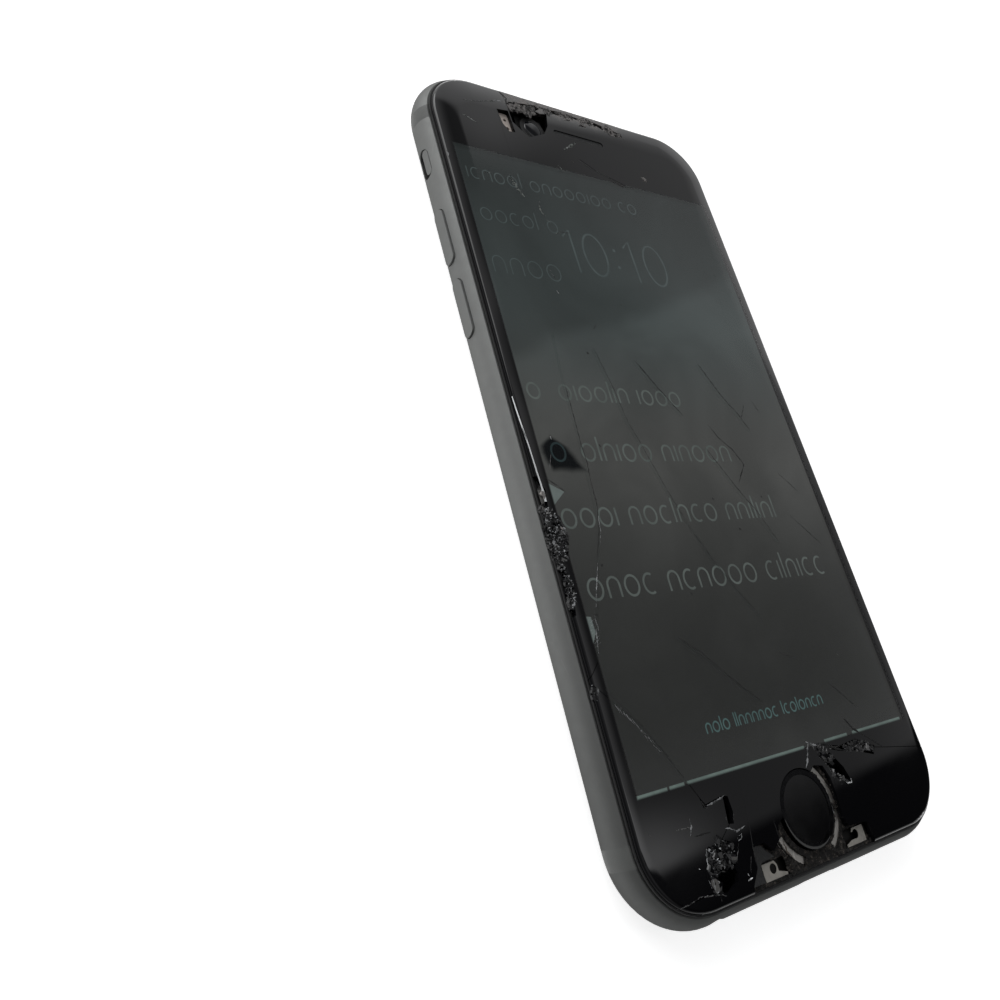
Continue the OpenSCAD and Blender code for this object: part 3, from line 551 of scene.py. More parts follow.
gloss_black = plastic("gloss_black", (0.0028, 0.0028, 0.0032), 0.09, grain=0.08, bump=0.002, dust=0.02)
flex_film = plastic("flex_film", (0.2, 0.09, 0.03), 0.35, coat=0.3)
board_green = plastic("board_green", (0.015, 0.05, 0.03), 0.4, coat=0.3)
cell_wrap = plastic("cell_wrap", (0.02, 0.02, 0.022), 0.35, grain=2.0)
white_film = plastic("white_film", (0.6, 0.61, 0.6), 0.4, dust=0.05, tint=0.04)
flash_glass = lens_glass("flash_glass", (0.5, 0.45, 0.3))
lens = lens_glass("lens", (0.0015, 0.002, 0.0035), 0.0)
glass = cover_glass()
screen = picture()
glue_black = glue("glue_black")

FINISH = {
    "rear_housing": aluminium, "volume_up_button": aluminium, "volume_down_button": aluminium,
    "power_button": aluminium, "ring_switch": aluminium, "sim_tray": aluminium, "rear_camera_ring": aluminium,
    "upper_antenna_band": band_plastic, "lower_antenna_band": band_plastic,
    "front_glass": glass, "display_panel": screen, "backlight_unit": white_film, "earpiece_mesh": mesh_cloth,
    "home_button": gloss_black, "home_button_ring": ring_black, "home_button_plate": steel,
    "home_button_bracket": lug_steel, "home_button_gasket": rubber, "glass_adhesive": glue_black,
    "front_camera_bracket": tan_metal, "front_camera_lens": lens, "rear_camera_lens": lens,
    "flash_lens": flash_glass, "battery": cell_wrap, "battery_adhesive": white_film,
    "logic_board": board_green, "home_button_sensor": board_green,
    "display_shield_plate": steel, "connector_cover": steel, "board_screws": steel, "bottom_screws": dark_steel,
    "sim_reader": steel, "vibration_motor": steel, "upper_board_shield": steel, "middle_board_shield": steel,
    "lower_board_shield": steel, "battery_lead": flex_film,
}
for node_name, ob in frame["nodes"].items():
    mat = FINISH.get(node_name)
    if mat is None:
        mat = flex_film if "flex" in node_name else black_plastic
    ob.data.materials.clear()
    ob.data.materials.append(mat)

# ---------------------------------------------------------------- what shows on the display

print_dim = faint_print("print_dim", (0.055, 0.07, 0.07))
print_pale = faint_print("print_pale", (0.085, 0.098, 0.092))
print_ghost = faint_print("print_ghost", (0.012, 0.022, 0.024))
print_hint = faint_print("print_hint", (0.055, 0.1, 0.098))
print_line = faint_print("print_line", (0.105, 0.14, 0.128))
bleed_chip = faint_print("pale_chip", (0.11, 0.13, 0.125))
PRINT_Z = GLASS_Z + 0.003


def stroke(bm, points, width, closed=False):
    """A flat stroke of even width along the points."""
    rows = []
    last = len(points) - 1
    for i, p in enumerate(points):
        a = Vector(points[i - 1] if (i or closed) else points[0])
        b = Vector(points[(i + 1) % len(points)] if (i < last or closed) else points[last])
        d = (b - a).normalized()
        s = Vector((-d.y, d.x)) * width / 2
        rows.append((bm.verts.new((p[0] - s.x, p[1] - s.y, PRINT_Z)),
                     bm.verts.new((p[0] + s.x, p[1] + s.y, PRINT_Z))))
    pairs = list(zip(rows, rows[1:])) + ([(rows[-1], rows[0])] if closed else [])
    for a, b in pairs:
        bm.faces.new((a[0], a[1], b[1], b[0]))


def oval(cx, cy, rx, ry, a0=0, a1=360):
    """Points round an oval, or along the part of it from the angle a0 to a1."""
    steps = max(8, int((a1 - a0) / 15))
    full = a1 - a0 == 360
    return [(cx + rx * math.cos(math.radians(a0 + (a1 - a0) * k / steps)),
             cy + ry * math.sin(math.radians(a0 + (a1 - a0) * k / steps))) for k in range(steps + (not full))]


def shape_row(bm, x0, x1, y, h, width):
    """A row of plain rings, bars and arches where the display shows a line of words."""
    x = x0
    run = rng.randint(4, 8)
    while x < x1:
        kind = rng.choice(("ring", "bar", "arch", "bowl", "ring", "arch", "tall"))
        if kind == "ring":
            stroke(bm, oval(x + 0.43 * h, y + h / 2, 0.43 * h, h / 2), width, True)
            x += 0.86 * h
        elif kind in ("bar", "tall"):
            stroke(bm, [(x, y), (x, y + h * (1.45 if kind == "tall" else 1.0))], width)
        elif kind == "arch":
            stroke(bm, [(x, y)] + oval(x + 0.36 * h, y + 0.62 * h, 0.36 * h, 0.38 * h, 180, 0)
                   + [(x + 0.72 * h, y)], width)
            x += 0.72 * h
        else:
            stroke(bm, oval(x + 0.4 * h, y + h / 2, 0.4 * h, h / 2, 60, 300), width)
            x += 0.72 * h
        run -= 1
        x += 0.34 * h if run else 0.95 * h
        run = run or rng.randint(4, 8)


def print_rows():
    """Faint rows on the display, its dim clock and the line of failed rows across its foot."""
    bm, done = new_mesh("picture_rows_faint", print_dim)
    for x0, x1, y, h in ((-27.8, 8.0, 45.6, 2.2), (-27.4, -13.0, 37.2, 2.4), (-27.8, -13.5, 27.0, 3.2)):
        shape_row(bm, x0, x1, y, h, 0.2)
    done()
    bm, done = new_mesh("picture_rows", print_pale)
    for x0, x1, y, h in ((-28.2, -26.5, 4.6, 2.6), (-22.2, 2.6, 4.6, 2.6), (-21.2, 12.0, -5.6, 2.8),
                         (-28.4, 18.0, -16.0, 2.8), (-27.4, 24.0, -26.6, 3.0)):
        shape_row(bm, x0, x1, y, h, 0.36)
    done()
    bm, done = new_mesh("picture_ring_in_bleed", print_ghost)
    stroke(bm, oval(-25.7, -4.2, 1.25, 1.45), 0.36, True)
    done()
    bm, done = new_mesh("picture_hint", print_hint)
    shape_row(bm, -13.8, 12.2, -47.0, 1.35, 0.24)
    done()
    bm, done = new_mesh("picture_clock", print_dim)
    low, high = 29.6, 38.4
    for x in (-9.6, 4.2):
        stroke(bm, [(x - 1.7, high - 1.6), (x, high), (x, low)], 0.4)
    for x in (-4.9, 9.4):
        stroke(bm, oval(x, (low + high) / 2, 2.5, (high - low) / 2), 0.4, True)
    for y in (32.2, 35.8):
        stroke(bm, [(-0.3, y), (0.3, y)], 0.6)
    done()
    bm, done = new_mesh("picture_line", print_line)
    for x0, x1 in ((-29.6, -23.8), (-23.4, -20.7), (-20.2, 4.4), (9.3, 15.0), (16.4, 29.6)):
        stroke(bm, [(x0, -52.35), (x1, -52.35)], 0.72)
    done()
    bm, done = new_mesh("picture_pale_chip", bleed_chip)
    for shape in (
        [(-29.4, -9.0), (-26.7, -10.5), (-29.3, -12.6)],
        [(-29.4, -28.6), (-28.3, -28.8), (-28.2, -31.0), (-29.5, -33.0)],
    ):
        bm.faces.new([bm.verts.new((p[0], p[1], PRINT_Z)) for p in shape])
    done()


print_rows()

# ---------------------------------------------------------------- damage

frost = broken_glass("frosted_glass", (0.14, 0.13, 0.126), 0.5, clear=0.7)
pale_frost = broken_glass("pale_frost", (0.28, 0.26, 0.25), 0.4, clear=0.6)
grey_frost = broken_glass("grey_glass", (0.085, 0.085, 0.085), 0.35)
# a dim grey for the painted faint glints along hairline cracks
faint_glint_paint = broken_glass("faint_glass", (0.1, 0.1, 0.1), 0.45, clear=0.7)
# near white for the painted glints on broken edges
glint_paint_white = broken_glass("painted_glint_glass", (0.8, 0.82, 0.83), 0.25)
# whitish broken glass for crumbs and ripples; the same colour paints the glints along cracks
frost_and_glint_paint = broken_glass("line_glass", (0.33, 0.34, 0.35), 0.35, clear=0.4)
splinter_grey = plastic("splinter_grey", (0.085, 0.083, 0.08), 0.4, grain=4.0, bump=0.6, depth=0.05, dust=0.4)
# grey for the painted highlight arc on the home button's ring
ring_highlight_grey = plastic("ring_highlight_grey", (0.05, 0.051, 0.05), 0.45, dust=0.2)
brown_glue = plastic("brown_glue", (0.075, 0.062, 0.05), 0.6)
smudge_frost = broken_glass("smudge_glass", (0.12, 0.135, 0.125), 0.5, clear=0.6)
silver_glass = broken_glass("silvered_glass", (0.75, 0.77, 0.78), 0.16, metallic=1.0)
dark_glass = broken_glass("dark_glass", (0.006, 0.006, 0.007), 0.06)
dark_crack = plastic("crack_shadow", (0.0012, 0.0012, 0.0014), 0.35, dust=0.0)

TOP_CRUSH = [
    [(-15.2, 64.2), (-13.6, 65.1), (-11.6, 64.9), (-11.4, 63.9), (-14.9, 62.8)],
    [(-11.8, 64.6), (-9.3, 65.7), (-9.2, 64.0), (-11.3, 63.4)],
    [(-8.4, 66.0), (-5.4, 66.2), (-5.6, 65.0), (-7.6, 65.4)],
    [(-4.4, 65.9), (0.6, 66.3), (0.4, 65.5), (-2.4, 64.8)],
    [(1.2, 66.1), (5.2, 66.4), (5.8, 65.3), (2.6, 64.9)],
    [(6.8, 66.0), (10.0, 66.1), (10.5, 63.8), (8.1, 64.1)],
    [(11.4, 64.9), (12.5, 64.9), (12.4, 63.9)],
]
SIDE_CRUSH = [
    [(-31.75, -12.8), (-30.2, -13.4), (-29.2, -15.6), (-29.0, -17.6), (-29.8, -20.2), (-31.4, -22.4),
     (-31.8, -20.0)],
    [(-31.1, -25.0), (-30.3, -26.2), (-31.3, -27.6), (-31.7, -26.6)],
    [(-31.6, -37.6), (-31.1, -37.8), (-31.2, -39.6), (-31.65, -39.4)],
    [(-30.8, -22.0), (-30.3, -22.6), (-30.2, -25.4), (-30.9, -27.6), (-31.4, -26.0)],
]
LOW_CRUSH = [
    [(-20.9, -60.0), (-18.2, -59.4), (-16.2, -60.9), (-16.3, -63.1), (-18.6, -63.4), (-20.4, -62.6)],
    [(-21.5, -60.9), (-20.6, -61.2), (-20.4, -64.4), (-20.2, -66.1), (-21.7, -65.4)],
]
WEDGE_CRUSH = [
    [(5.2, -52.2), (8.2, -52.7), (9.6, -54.6), (8.4, -55.6), (6.9, -54.6)],
    [(7.4, -56.0), (9.4, -57.4), (10.9, -58.9), (9.2, -58.6), (7.4, -57.2)],
    [(12.4, -53.6), (17.6, -53.4), (19.4, -55.2), (17.0, -55.2), (13.0, -54.6)],
]
scatter("flakes_top", frost, TOP_CRUSH, 4, 1.2, 2.6, 0.12, 0.16, 0.06)
scatter("flakes_top_pale", pale_frost, TOP_CRUSH, 4, 0.3, 1.0, 0.06, 0.3, 0.15)
scatter("flakes_top_dark", dark_glass, TOP_CRUSH, 2, 0.3, 0.9, 0.1, 0.4, 0.3)
scatter("crumbs_side", dark_glass, SIDE_CRUSH, 40, 0.4, 1.4, 0.45, 0.9, 0.3)
scatter("crumbs_side_grey", frost_and_glint_paint, SIDE_CRUSH, 24, 0.15, 0.9, 0.2, 1.0, 0.12)
scatter("crumbs_side_bright", frost_and_glint_paint, SIDE_CRUSH, 60, 0.06, 0.22, 0.2, 1.2, 0.4)
scatter("crumbs_low", dark_glass, LOW_CRUSH, 13, 0.4, 1.6, 0.3, 0.5, 0.25)
scatter("crumbs_low_grey", frost_and_glint_paint, LOW_CRUSH, 2.5, 0.2, 0.8, 0.12, 0.8, 0.1)
scatter("crumbs_low_bright", silver_glass, LOW_CRUSH, 0.8, 0.1, 0.35, 0.05, 0.8, 0.25)
scatter("crumbs_wedge", dark_glass, WEDGE_CRUSH, 18, 0.4, 1.6, 0.4, 0.6, 0.3)
scatter("crumbs_wedge_grey", grey_frost, WEDGE_CRUSH, 3, 0.2, 0.8, 0.12, 0.8, 0.2)

FOOT_GAP = [
    (-15.2, -67.3), (-14.8, -66.4), (-13.2, -64.6), (-12.9, -62.1), (-10.6, -62.0), (-9.2, -63.4), (-7.6, -62.4),
    (-6.9, -60.6), (-5.6, -60.0), (-4.0, -58.0), (2.4, -56.0), (4.2, -54.9), (6.1, -55.3), (6.9, -57.2),
    (6.9, -60.4), (6.6, -62.6), (7.2, -64.0), (8.6, -64.1), (11.6, -64.4), (11.8, -66.6), (12.6, -67.3),
]
LUGS = [(-11.75, -6.9, -66.95, -64.5), (6.0, 11.15, -66.95, -64.5)]
BARE = [(200, 242, 6.35, 7.55), (300, 348, 6.15, 7.25), (354, 410, 5.95, 7.05)]
SHARD = [(-12.7, -62.0), (-11.0, -62.3), (-10.3, -63.2), (-9.2, -64.1), (-11.8, -64.25), (-12.3, -64.7),
         (-12.2, -66.6), (-14.6, -66.6), (-13.1, -64.5)]


def crusted(x, y):
    """Whether broken glue covers this place in the gap round the home button."""
    dx, dy = x - HOME.x, y - HOME.y
    r = math.hypot(dx, dy)
    if not inside((x, y), FOOT_GAP) or r < 5.62:
        return False
    turn = math.degrees(math.atan2(dy, dx)) % 360
    ragged = 0.22 * noise.noise(Vector((x * 1.7, y * 1.7, 0.5)))
    for a0, a1, r0, r1 in BARE:
        if r0 + ragged < r < r1 + ragged and (a0 < turn < a1 or a0 < turn + 360 < a1):
            return False
    for x0, x1, y0, y1 in LUGS:
        if x0 < x < x1 and y0 < y < y1:
            return False
    return True


def crust_floor(x, y):
    """Where the crust lies: on the glue by the button, lower beside the bracket's lugs."""
    near = math.hypot(x - HOME.x, y - HOME.y)
    low = GLASS_Z - 0.28 if abs(x) > 6.0 and near > 7.6 else GLASS_Z + 0.02
    return max(low, GLASS_Z + 0.05) if y < -66.7 else low


rubble("glue_crust", glue_black, crusted, crust_floor, 0.26)


def splinters(name, mat, pieces):
    """Loose flat splinters still held in place, each a tilted facet."""
    bm, done = new_mesh(name, mat)
    for points, z, slope_x, slope_y in pieces:
        facet(bm, points, z, slope_x, slope_y)
    return done()


shard_black = plastic("shard_black", (0.009, 0.0095, 0.0098), 0.12, grain=3.0, bump=0.05, dust=0.1)
splinters("tipped_shard", shard_black, [(SHARD, FACE_Z - 0.32, 0.01, -0.045)])
splinters("grey_splinters", splinter_grey, [
    ([(-17.7, -62.0), (-16.2, -62.4), (-16.7, -63.1), (-17.5, -62.8)], FACE_Z, 0.1, 0.1),
    ([(-21.7, -63.8), (-20.7, -63.8), (-20.7, -65.3), (-21.5, -65.6), (-21.9, -64.8)], FACE_Z + 0.02, 0.05, 0.02),
    ([(-31.7, -10.3), (-30.9, -10.5), (-31.1, -12.2), (-31.6, -12.5)], FACE_Z - 0.15, 0.1, 0.05),
    ([(-31.9, -12.9), (-31.0, -12.7), (-30.6, -14.2), (-31.4, -14.6)], FACE_Z - 0.2, -0.2, 0.1),
    ([(-30.6, -15.2), (-29.6, -15.5), (-29.4, -16.8), (-30.4, -17.2)], FACE_Z - 0.1, 0.15, -0.1),
    ([(-31.0, -20.4), (-30.2, -20.8), (-30.4, -21.8), (-31.1, -22.2)], FACE_Z - 0.1, 0.1, 0.2),
])


def ring_highlight_arc():
    """A painted highlight on the home button's ring: a grey arc along its lower-left edge."""
    bm, done = new_mesh("ring_highlight_arc", ring_highlight_grey)
    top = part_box("home_button_ring")[1].z / MM + 0.004
    arc_r, steps, turn, sweep = 5.14, 30, 184, 118
    rows = []
    for i in range(steps + 1):
        a = math.radians(turn + sweep * i / steps)
        w = 0.1 + 0.24 * math.sin(math.pi * i / steps)
        rows.append([bm.verts.new((HOME.x + r * math.cos(a), HOME.y + r * math.sin(a), top))
                     for r in (arc_r - w / 2, arc_r + w / 2)])
    for a, b in zip(rows, rows[1:]):
        bm.faces.new((a[0], a[1], b[1], b[0]))
    ob = done()
    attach(ob, "home")


ring_highlight_arc()

HAIRLINES = [
    ([(-21.3, 7), (-21.4, 2.1), (-21.6, -3.1), (-21.5, -6.2), (-21.9, -9.6), (-22, -12.8), (-23, -16.8),
      (-24.9, -20.9)], 0.13),
    ([(-13, 14), (-11.5, 7), (-10.7, 1), (-8.8, -5), (-7, -11), (-5, -17), (-2, -23), (1, -28), (4.2, -32.5)], 0.1),
    ([(-4.7, 12.5), (-1.5, 7.5), (2.2, 2.5)], 0.22),
    ([(10.5, 13), (13.5, 7), (16.5, 3), (18, 0)], 0.2),
    ([(16.5, 2), (19, 5.5)], 0.16),
    ([(21.5, 6), (22.5, 3.5)], 0.2),
    ([(7.5, 1), (9, -1.5), (11.5, -3.8), (13, -6.5), (10, -10)], 0.2),
    ([(5, -3.5), (7, -7), (9.3, -11), (12, -15), (15, -21)], 0.14),
    ([(21, -8), (25, -12)], 0.12),
    ([(20, -16), (26, -22)], 0.14),
    ([(-14.5, -33.5), (-11, -36), (-7.5, -39.5), (-5, -42), (-2, -44.5)], 0.12),
    ([(5, -38), (9.5, -40)], 0.1),
    ([(14, -44), (19, -49)], 0.14),
    ([(-29.8, -38.5), (-25.5, -44), (-23, -48), (-20.5, -52.5)], 0.1),
    ([(14.3, -49.3), (15.9, -51.6), (18.2, -53.2), (21.5, -55.4)], 0.3),
    ([(5.9, -52.5), (8.6, -53), (12.3, -54.3), (15, -54.3), (17.3, -53.6), (19.1, -54.5)], 0.3),
    ([(-2.2, 55.0), (0.6, 53.7), (4.0, 52.7), (8.2, 51.3), (11.0, 51.5)], 0.24),
    ([(-8.0, 50.6), (-6.4, 51.4)], 0.2),
    ([(-22.2, -58.5), (-19.4, -58.6)], 0.3),
    ([(-19.4, -54.7), (-18.9, -55.8)], 0.5),
    ([(-16.3, 66.9), (-15.0, 65.6), (-15.5, 64.1)], 0.6),
    ([(-30.0, -8.6), (-28.5, -9.6), (-27.1, -10.9)], 0.2),
    ([(-12.6, 37.0), (-9.6, 37.2)], 0.16),
    ([(-14.6, 21.0), (-14.2, 20.6)], 0.3),
    ([(-12.0, 17.5), (-10.5, 19.0)], 0.12),
]
lines("cracks_dark", dark_crack, HAIRLINES)

DOTS = [
    (-22.0, -12.0), (-22.7, -16.3), (-24.4, -22.0), (-27.8, -28.8), (-14.6, 13.0), (9.3, -11.0), (11.5, -3.8),
    (-3.5, 23.5), (-18.0, -3.4), (6.4, -18.0), (14.5, -12.5), (-9.0, -27.5), (2.5, -12.6),
]
lines("crack_nicks", dark_crack, [([(x - 0.15, y + 0.2), (x + 0.15, y - 0.2)], 0.5) for x, y in DOTS], step=0.1)

# faint light lines along hairline cracks: painted faint glints
FAINT_GLINTS = [
    ([(-29.4, -9.2), (-27.4, -10.3)], 0.07),
    ([(-28.8, -7.4), (-27.6, -4.4)], 0.09),
    ([(-25.2, -57.1), (-22.4, -57.3)], 0.16),
    ([(-24.3, -65.1), (-23.2, -65.3), (-21.9, -65.5), (-20.6, -65.8), (-19.9, -66.1)], 0.2),
    ([(-28.5, -65.5), (-26.2, -65.4), (-24.3, -65.1)], 0.14),
    ([(-20.8, -65.8), (-20.9, -66.5)], 0.12),
    ([(-18.8, -55.8), (-18.7, -55.5)], 0.3),
    ([(-14.4, -57.4), (-14.9, -58.3)], 0.2),
    ([(-15.9, -57.5), (-16.1, -57.9)], 0.2),
    ([(-15.2, -61.0), (-16.4, -63.0)], 0.1),
    ([(-13.7, -63.0), (-14.6, -64.7)], 0.1),
    ([(-12.7, -61.7), (-13.0, -62.5)], 0.1),
    ([(12.6, -54.5), (15.2, -54.2), (17.2, -53.7)], 0.2),
    ([(6.0, -54.0), (7.4, -55.8), (7.6, -57.2), (9.0, -58.2)], 0.2),
    ([(-25.0, 62.2), (-22.0, 62.7), (-18.5, 64.0)], 0.16),
    ([(-4.0, 54.6), (-3.2, 54.2)], 0.24),
    ([(-17.2, 28.5), (-16.5, 26.6)], 0.14),
    ([(-31.4, 47.4), (-31.2, 49.2)], 0.14),
    ([(-29.6, -56.4), (-29.2, -56.8)], 0.2),
    ([(18.6, -40.1), (19.2, -40.5)], 0.2),
    ([(-20.3, -63.4), (-19.1, -63.4), (-18.7, -63.6)], 0.14),
]
# light lines along the cracks: painted glints where crack faces catch the light
PAINTED_GLINTS = [
    ([(-22.4, -14.5), (-22.8, -17.0), (-23.5, -18.8)], 0.1),
    ([(-25.0, -21.6), (-26.3, -24.6), (-27.5, -27.8)], 0.12),
    ([(-28.6, -30.6), (-29.3, -33.9)], 0.12),
    ([(-28.2, -28.8), (-28.2, -31.2)], 0.14),
    ([(-27.0, -2.0), (-26.8, -2.6)], 0.26),
    ([(-22.9, -58.2), (-22.3, -57.3), (-22.3, -56.3)], 0.24),
    ([(-18.7, -55.5), (-16.7, -55.3), (-14.9, -55.0)], 0.24),
    ([(-16.8, -58.7), (-15.9, -59.0), (-14.8, -59.6), (-13.1, -59.3)], 0.2),
    ([(-14.7, -60.2), (-14.1, -60.0), (-14.4, -60.6), (-15.0, -60.7), (-15.1, -60.3)], 0.2),
    ([(-18.6, -59.8), (-17.6, -60.1)], 0.36),
    ([(-20.9, -60.3), (-21.2, -61.0), (-21.5, -62.1)], 0.34),
    ([(-21.5, -62.1), (-21.4, -63.6), (-21.4, -65.4)], 0.26),
    ([(-20.9, -60.3), (-20.2, -61.0), (-19.3, -60.7), (-18.9, -61.3)], 0.2),
    ([(-20.2, -61.0), (-20.1, -61.8), (-18.9, -62.3)], 0.16),
    ([(-20.1, -62.3), (-18.8, -62.1)], 0.16),
    ([(-20.7, -63.8), (-20.7, -65.1)], 0.12),
    ([(-22.1, -63.7), (-21.9, -64.7)], 0.16),
    ([(2.5, -54.9), (3.2, -54.1), (4.6, -51.8)], 0.34),
    ([(4.2, -51.5), (5.4, -52.1), (6.8, -52.6)], 0.3),
    ([(-18.5, 64.0), (-16.5, 64.5)], 0.34),
    ([(-25.6, 58.4), (-24.6, 58.2), (-23.4, 57.6)], 0.2),
    ([(-4.6, 56.9), (-3.0, 58.0), (-2.2, 58.5)], 0.16),
    ([(-31.3, 49.4), (-31.2, 48.2)], 0.4),
]
SMUDGES = [
    ([(-19.6, 47.4), (-19.3, 46.0), (-18.8, 44.6), (-17.8, 43.1)], 0.7),
    ([(-14.8, 42.8), (-15.2, 41.2), (-15.0, 40.4), (-14.4, 39.9)], 0.6),
    ([(-4.8, 56.8), (-3.0, 58.0), (-1.1, 59.4)], 0.55),
    ([(-26.0, 58.6), (-24.6, 58.2), (-23.2, 57.4)], 0.5),
    ([(-14.4, 39.2), (-13.7, 38.5)], 0.4),
    ([(-13.4, 36.4), (-12.1, 36.9)], 0.45),
    ([(-7.6, 52.5), (-6.6, 51.2)], 0.4),
    ([(-24.9, 46.5), (-23.5, 46.9)], 0.25),
    ([(-19.2, 63.6), (-17.6, 64.3), (-16.4, 64.5)], 0.6),
]
lines("smudges", smudge_frost, SMUDGES, 0.02, 0.05, 0.45)
lines("cracks_faint_glints", faint_glint_paint, FAINT_GLINTS, 0.03, 0.06, 0.25)
lines("cracks_painted_glints", frost_and_glint_paint, PAINTED_GLINTS, 0.05, 0.06, 0.25)
PLATE_EDGE = [([(5.4, -59.5), (5.5, -60.5), (5.5, -61.9)], 0.22)]
GLUE_EDGE = [
    ([(-6.5, -62.6), (-6.3, -64.3), (-5.3, -65.4)], 0.25),
    ([(6.95, -57.6), (6.95, -60.4), (6.65, -62.4)], 0.14),
]
lines("plate_edge", frost_and_glint_paint, PLATE_EDGE, 0.02, 0.0, 0.3, GLASS_Z + 0.3)
lines("glue_edge", brown_glue, GLUE_EDGE, 0.05, 0.08, 0.2, GLASS_Z + 0.2)

# short near-white strokes: painted glints on broken edges
BRIGHT = [
    ([(-15.5, -65.5), (-14.6, -65.4)], 0.55),
    ([(-15.2, -64.7), (-15.1, -65.0)], 0.2),
    ([(9.9, -58.4), (10.2, -58.7), (11.2, -58.75), (11.3, -58.2)], 0.3),
    ([(-21.4, -61.5), (-21.5, -62.4)], 0.2),
    ([(-22.5, -57.6), (-22.2, -57.2)], 0.34),
    ([(-17.1, 24.4), (-16.8, 23.9)], 0.5),
    ([(-23.1, -62.1), (-22.9, -62.2)], 0.24),
    ([(-24.4, -67.0), (-24.1, -67.1)], 0.24),
    ([(-22.5, -15.2), (-22.8, -17.0)], 0.08),
    ([(-26.0, -24.0), (-26.6, -25.4)], 0.08),
]
lines("edge_glints", glint_paint_white, BRIGHT, 0.05, 0.03, 0.4)


def chips():
    """Larger pale chips pressed into the face."""
    bm, done = new_mesh("pale_chips", pale_frost)
    for x, y, size, long in ((14.2, 54.6, 1.7, 1.3), (-31.0, -11.2, 1.3, 1.3), (-29.6, -16.2, 0.8, 1.2)):
        flake(bm, (x, y, face_z(x, y) - 0.02), size, 0.16, 0.15, long, 1.4)
    done()


def hatching():
    """Fine ripples on the broken edge at the lower left of the picture."""
    paths = []
    ripples = 20
    for k in range(ripples):
        t = k / (ripples - 1)
        x = -28.9 + 5.0 * t + rng.uniform(-0.2, 0.2)
        y = -40.4 - 6.6 * t + rng.uniform(-0.2, 0.2)
        paths.append(([(x, y), (x + 0.5 - 0.1 * t, y - 1.2 * (1 - 0.4 * t))], 0.09))
    for k in range(9):
        y = -28.8 - 0.45 * k
        paths.append(([(-29.5, y - 0.6), (-28.3, y)], 0.05))
    lines("edge_ripples", frost_and_glint_paint, paths, 0.02, 0.05, 0.25)


def painted_edge_highlight():
    """A painted highlight: a white strip along the long broken edge at the left, wider towards its foot."""
    bm, done = new_mesh("painted_edge_highlight", edge_highlight_white)
    rows = []
    lift = 0.03
    for y, x, w in ((4.4, -31.66, 0.07), (2.0, -31.6, 0.12), (0.0, -31.52, 0.15), (-3.6, -31.3, 0.18),
                    (-7.9, -31.15, 0.24), (-9.4, -31.06, 0.26), (-11.0, -31.02, 0.38), (-12.2, -31.05, 0.4)):
        rows.append([bm.verts.new((x + s * w / 2, y, face_z(x + s * w / 2, y) + lift)) for s in (-1, 1)])
    for a, b in zip(rows, rows[1:]):
        bm.faces.new((a[0], a[1], b[1], b[0]))
    done()


# near white for the painted highlight along the left broken edge
edge_highlight_white = plastic("edge_highlight_white", (0.75, 0.77, 0.78), 0.3, tint=0.08, dust=0.0)
chips()
hatching()
painted_edge_highlight()


def camera_dome():
    """The rounded front element of the front camera."""
    bm, done = new_mesh("camera_dome", lens)
    r, rise, steps, around = 1.8, 0.26, 8, 40
    rows = []
    for i in range(steps + 1):
        t = math.pi / 2 * i / steps
        rows.append([bm.verts.new((CAMERA.x + r * math.cos(t) * math.cos(math.tau * k / around),
                                   CAMERA.y + r * math.cos(t) * math.sin(math.tau * k / around),
                                   camera_hi.z + 0.02 + rise * math.sin(t)))
                     for k in range(around if i < steps else 1)])
    for a, b in zip(rows, rows[1:]):
        for k in range(around):
            m = (k + 1) % around
            if len(b) == 1:
                bm.faces.new((a[k], a[m], b[0]))
            else:
                bm.faces.new((a[k], a[m], b[m], b[k]))
    for f in bm.faces:
        f.smooth = True
    done()


camera_dome()

# ---------------------------------------------------------------- floor, light and camera


def floor():
    """A wide sheet of white paper."""
    n = Nodes("floor_paper")
    pos, _ = n.place()
    base = n.mix(n.noise(pos, 0.02, 3.0), (0.86, 0.86, 0.86), (0.89, 0.89, 0.89))
    b = n.add("BsdfPrincipled", Base_Color=base, Normal=n.bump(n.noise(pos, 1.5, 3.0), 0.1, 0.05))
    b.inputs["Roughness"].default_value = 0.9
    b.inputs["Emission Color"].default_value = (1.0, 1.0, 1.0, 1.0)
    b.inputs["Emission Strength"].default_value = 0.72
    mat = n.close(b.outputs[0])
    me = bpy.data.meshes.new("floor")
    half = 2.5
    me.from_pydata([(-half, -half, 0), (half, -half, 0), (half, half, 0), (-half, half, 0)], [], [(0, 1, 2, 3)])
    me.materials.append(mat)
    ob = bpy.data.objects.new("floor", me)
    bpy.context.scene.collection.objects.link(ob)


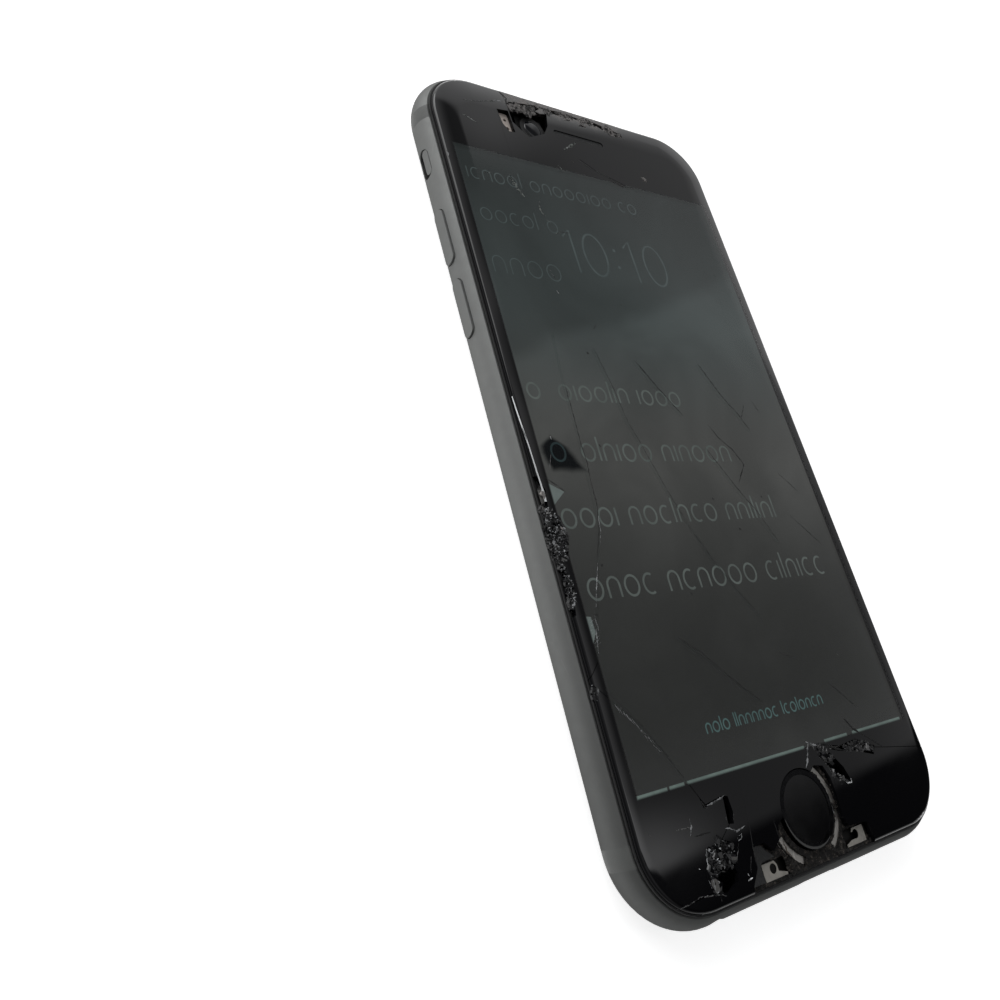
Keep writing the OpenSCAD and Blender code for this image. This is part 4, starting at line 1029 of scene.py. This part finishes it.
def world():
    """A pale studio. The face mirrors its far side: dim, lighter beyond the top end, black below the foot."""
    w = bpy.data.worlds.new("studio")
    bpy.context.scene.world = w
    w.use_nodes = True
    n = Nodes.__new__(Nodes)
    n.tree = w.node_tree
    n.tree.nodes.clear()
    way = n.add("TexCoord").outputs["Generated"]
    x, y, z = n.add("SeparateXYZ", Vector=way).outputs[:]
    slant = n.math("DIVIDE", y, n.math("MAXIMUM", x, 0.05))
    far = n.blend(0.0, 0.55, z, 0.76, 0.88)
    low = n.blend(0.22, 0.0, z, 0.50, 0.60)
    corner = n.math("MULTIPLY", n.blend(0.0, 0.34, slant, 1.07, 1.34), n.blend(1.0, 0.0, z, 0.54, 0.6))
    near = n.blend(0.1, 0.0, slant, -0.07, 0.03)
    warm = n.math("MULTIPLY", n.blend(0.95, 0.0, slant, -0.21, -0.07), n.blend(0.0, 1.0, z, 0.69, 0.765))
    warm = n.math("MULTIPLY", warm, n.blend(0.0, 1.0, slant, -0.6, -0.38))
    level = n.math("ADD", n.math("ADD", 0.115, far), n.math("ADD", low, n.math("ADD", corner, near)))
    level = n.math("ADD", level, warm)
    edge = n.add("VectorMath", operation="DOT_PRODUCT", i0=way)
    edge.inputs[1].default_value = (-0.07, 0.972, 0.227)
    level = n.math("MULTIPLY", level, n.blend(0.02, 1.0, edge.outputs["Value"], -0.008, 0.008))
    beside = n.blend(0.3, 1.3, y, 0.36, 0.8)
    level = n.blend(beside, level, x, -0.1, 0.3)
    horizon = n.blend(0.45, 0.0, z, 0.2, 0.36)
    level = n.math("MAXIMUM", level, horizon)
    bg = n.add("Background", Strength=level)
    bg.inputs["Color"].default_value = (0.985, 0.99, 1.0, 1.0)
    out = n.add("OutputWorld")
    n.tree.links.new(bg.outputs[0], out.inputs[0])


def lamp(name, place, size, power):
    """A soft rectangular lamp aimed at the phone."""
    data = bpy.data.lights.new(name, "AREA")
    data.shape = "RECTANGLE"
    data.size, data.size_y = size
    data.energy = power
    ob = bpy.data.objects.new(name, data)
    ob.location = place
    ob.rotation_mode = "QUATERNION"
    ob.rotation_quaternion = (-Vector(place)).to_track_quat("-Z", "Y")
    ob.visible_camera = False
    bpy.context.scene.collection.objects.link(ob)


def camera():
    """A phone camera held over the left foot corner, rolled as the photographer held it."""
    data = bpy.data.cameras.new("camera")
    data.sensor_width = 36.0
    data.lens = 29.751
    data.clip_start = 0.005
    data.clip_end = 20.0
    ob = bpy.data.objects.new("camera", data)
    bpy.context.scene.collection.objects.link(ob)
    bpy.context.scene.camera = ob
    place = Vector((-100.064, -46.315, 91.497 + housing_lo.z)) * MM
    ahead = Vector((0.559353, 0.314028, -0.767144))
    up = Vector((0.0233746, 0.9191206, 0.3932824))
    right = ahead.cross(up).normalized()
    up = right.cross(ahead).normalized()
    ob.matrix_world = Matrix((
        (right.x, up.x, -ahead.x, place.x),
        (right.y, up.y, -ahead.y, place.y),
        (right.z, up.z, -ahead.z, place.z),
        (0, 0, 0, 1),
    ))


floor()
world()
lamp("key", (-0.5, 0.95, 0.62), (1.0, 0.8), 5.5)
camera()
bpy.context.scene.view_settings.view_transform = "Standard"
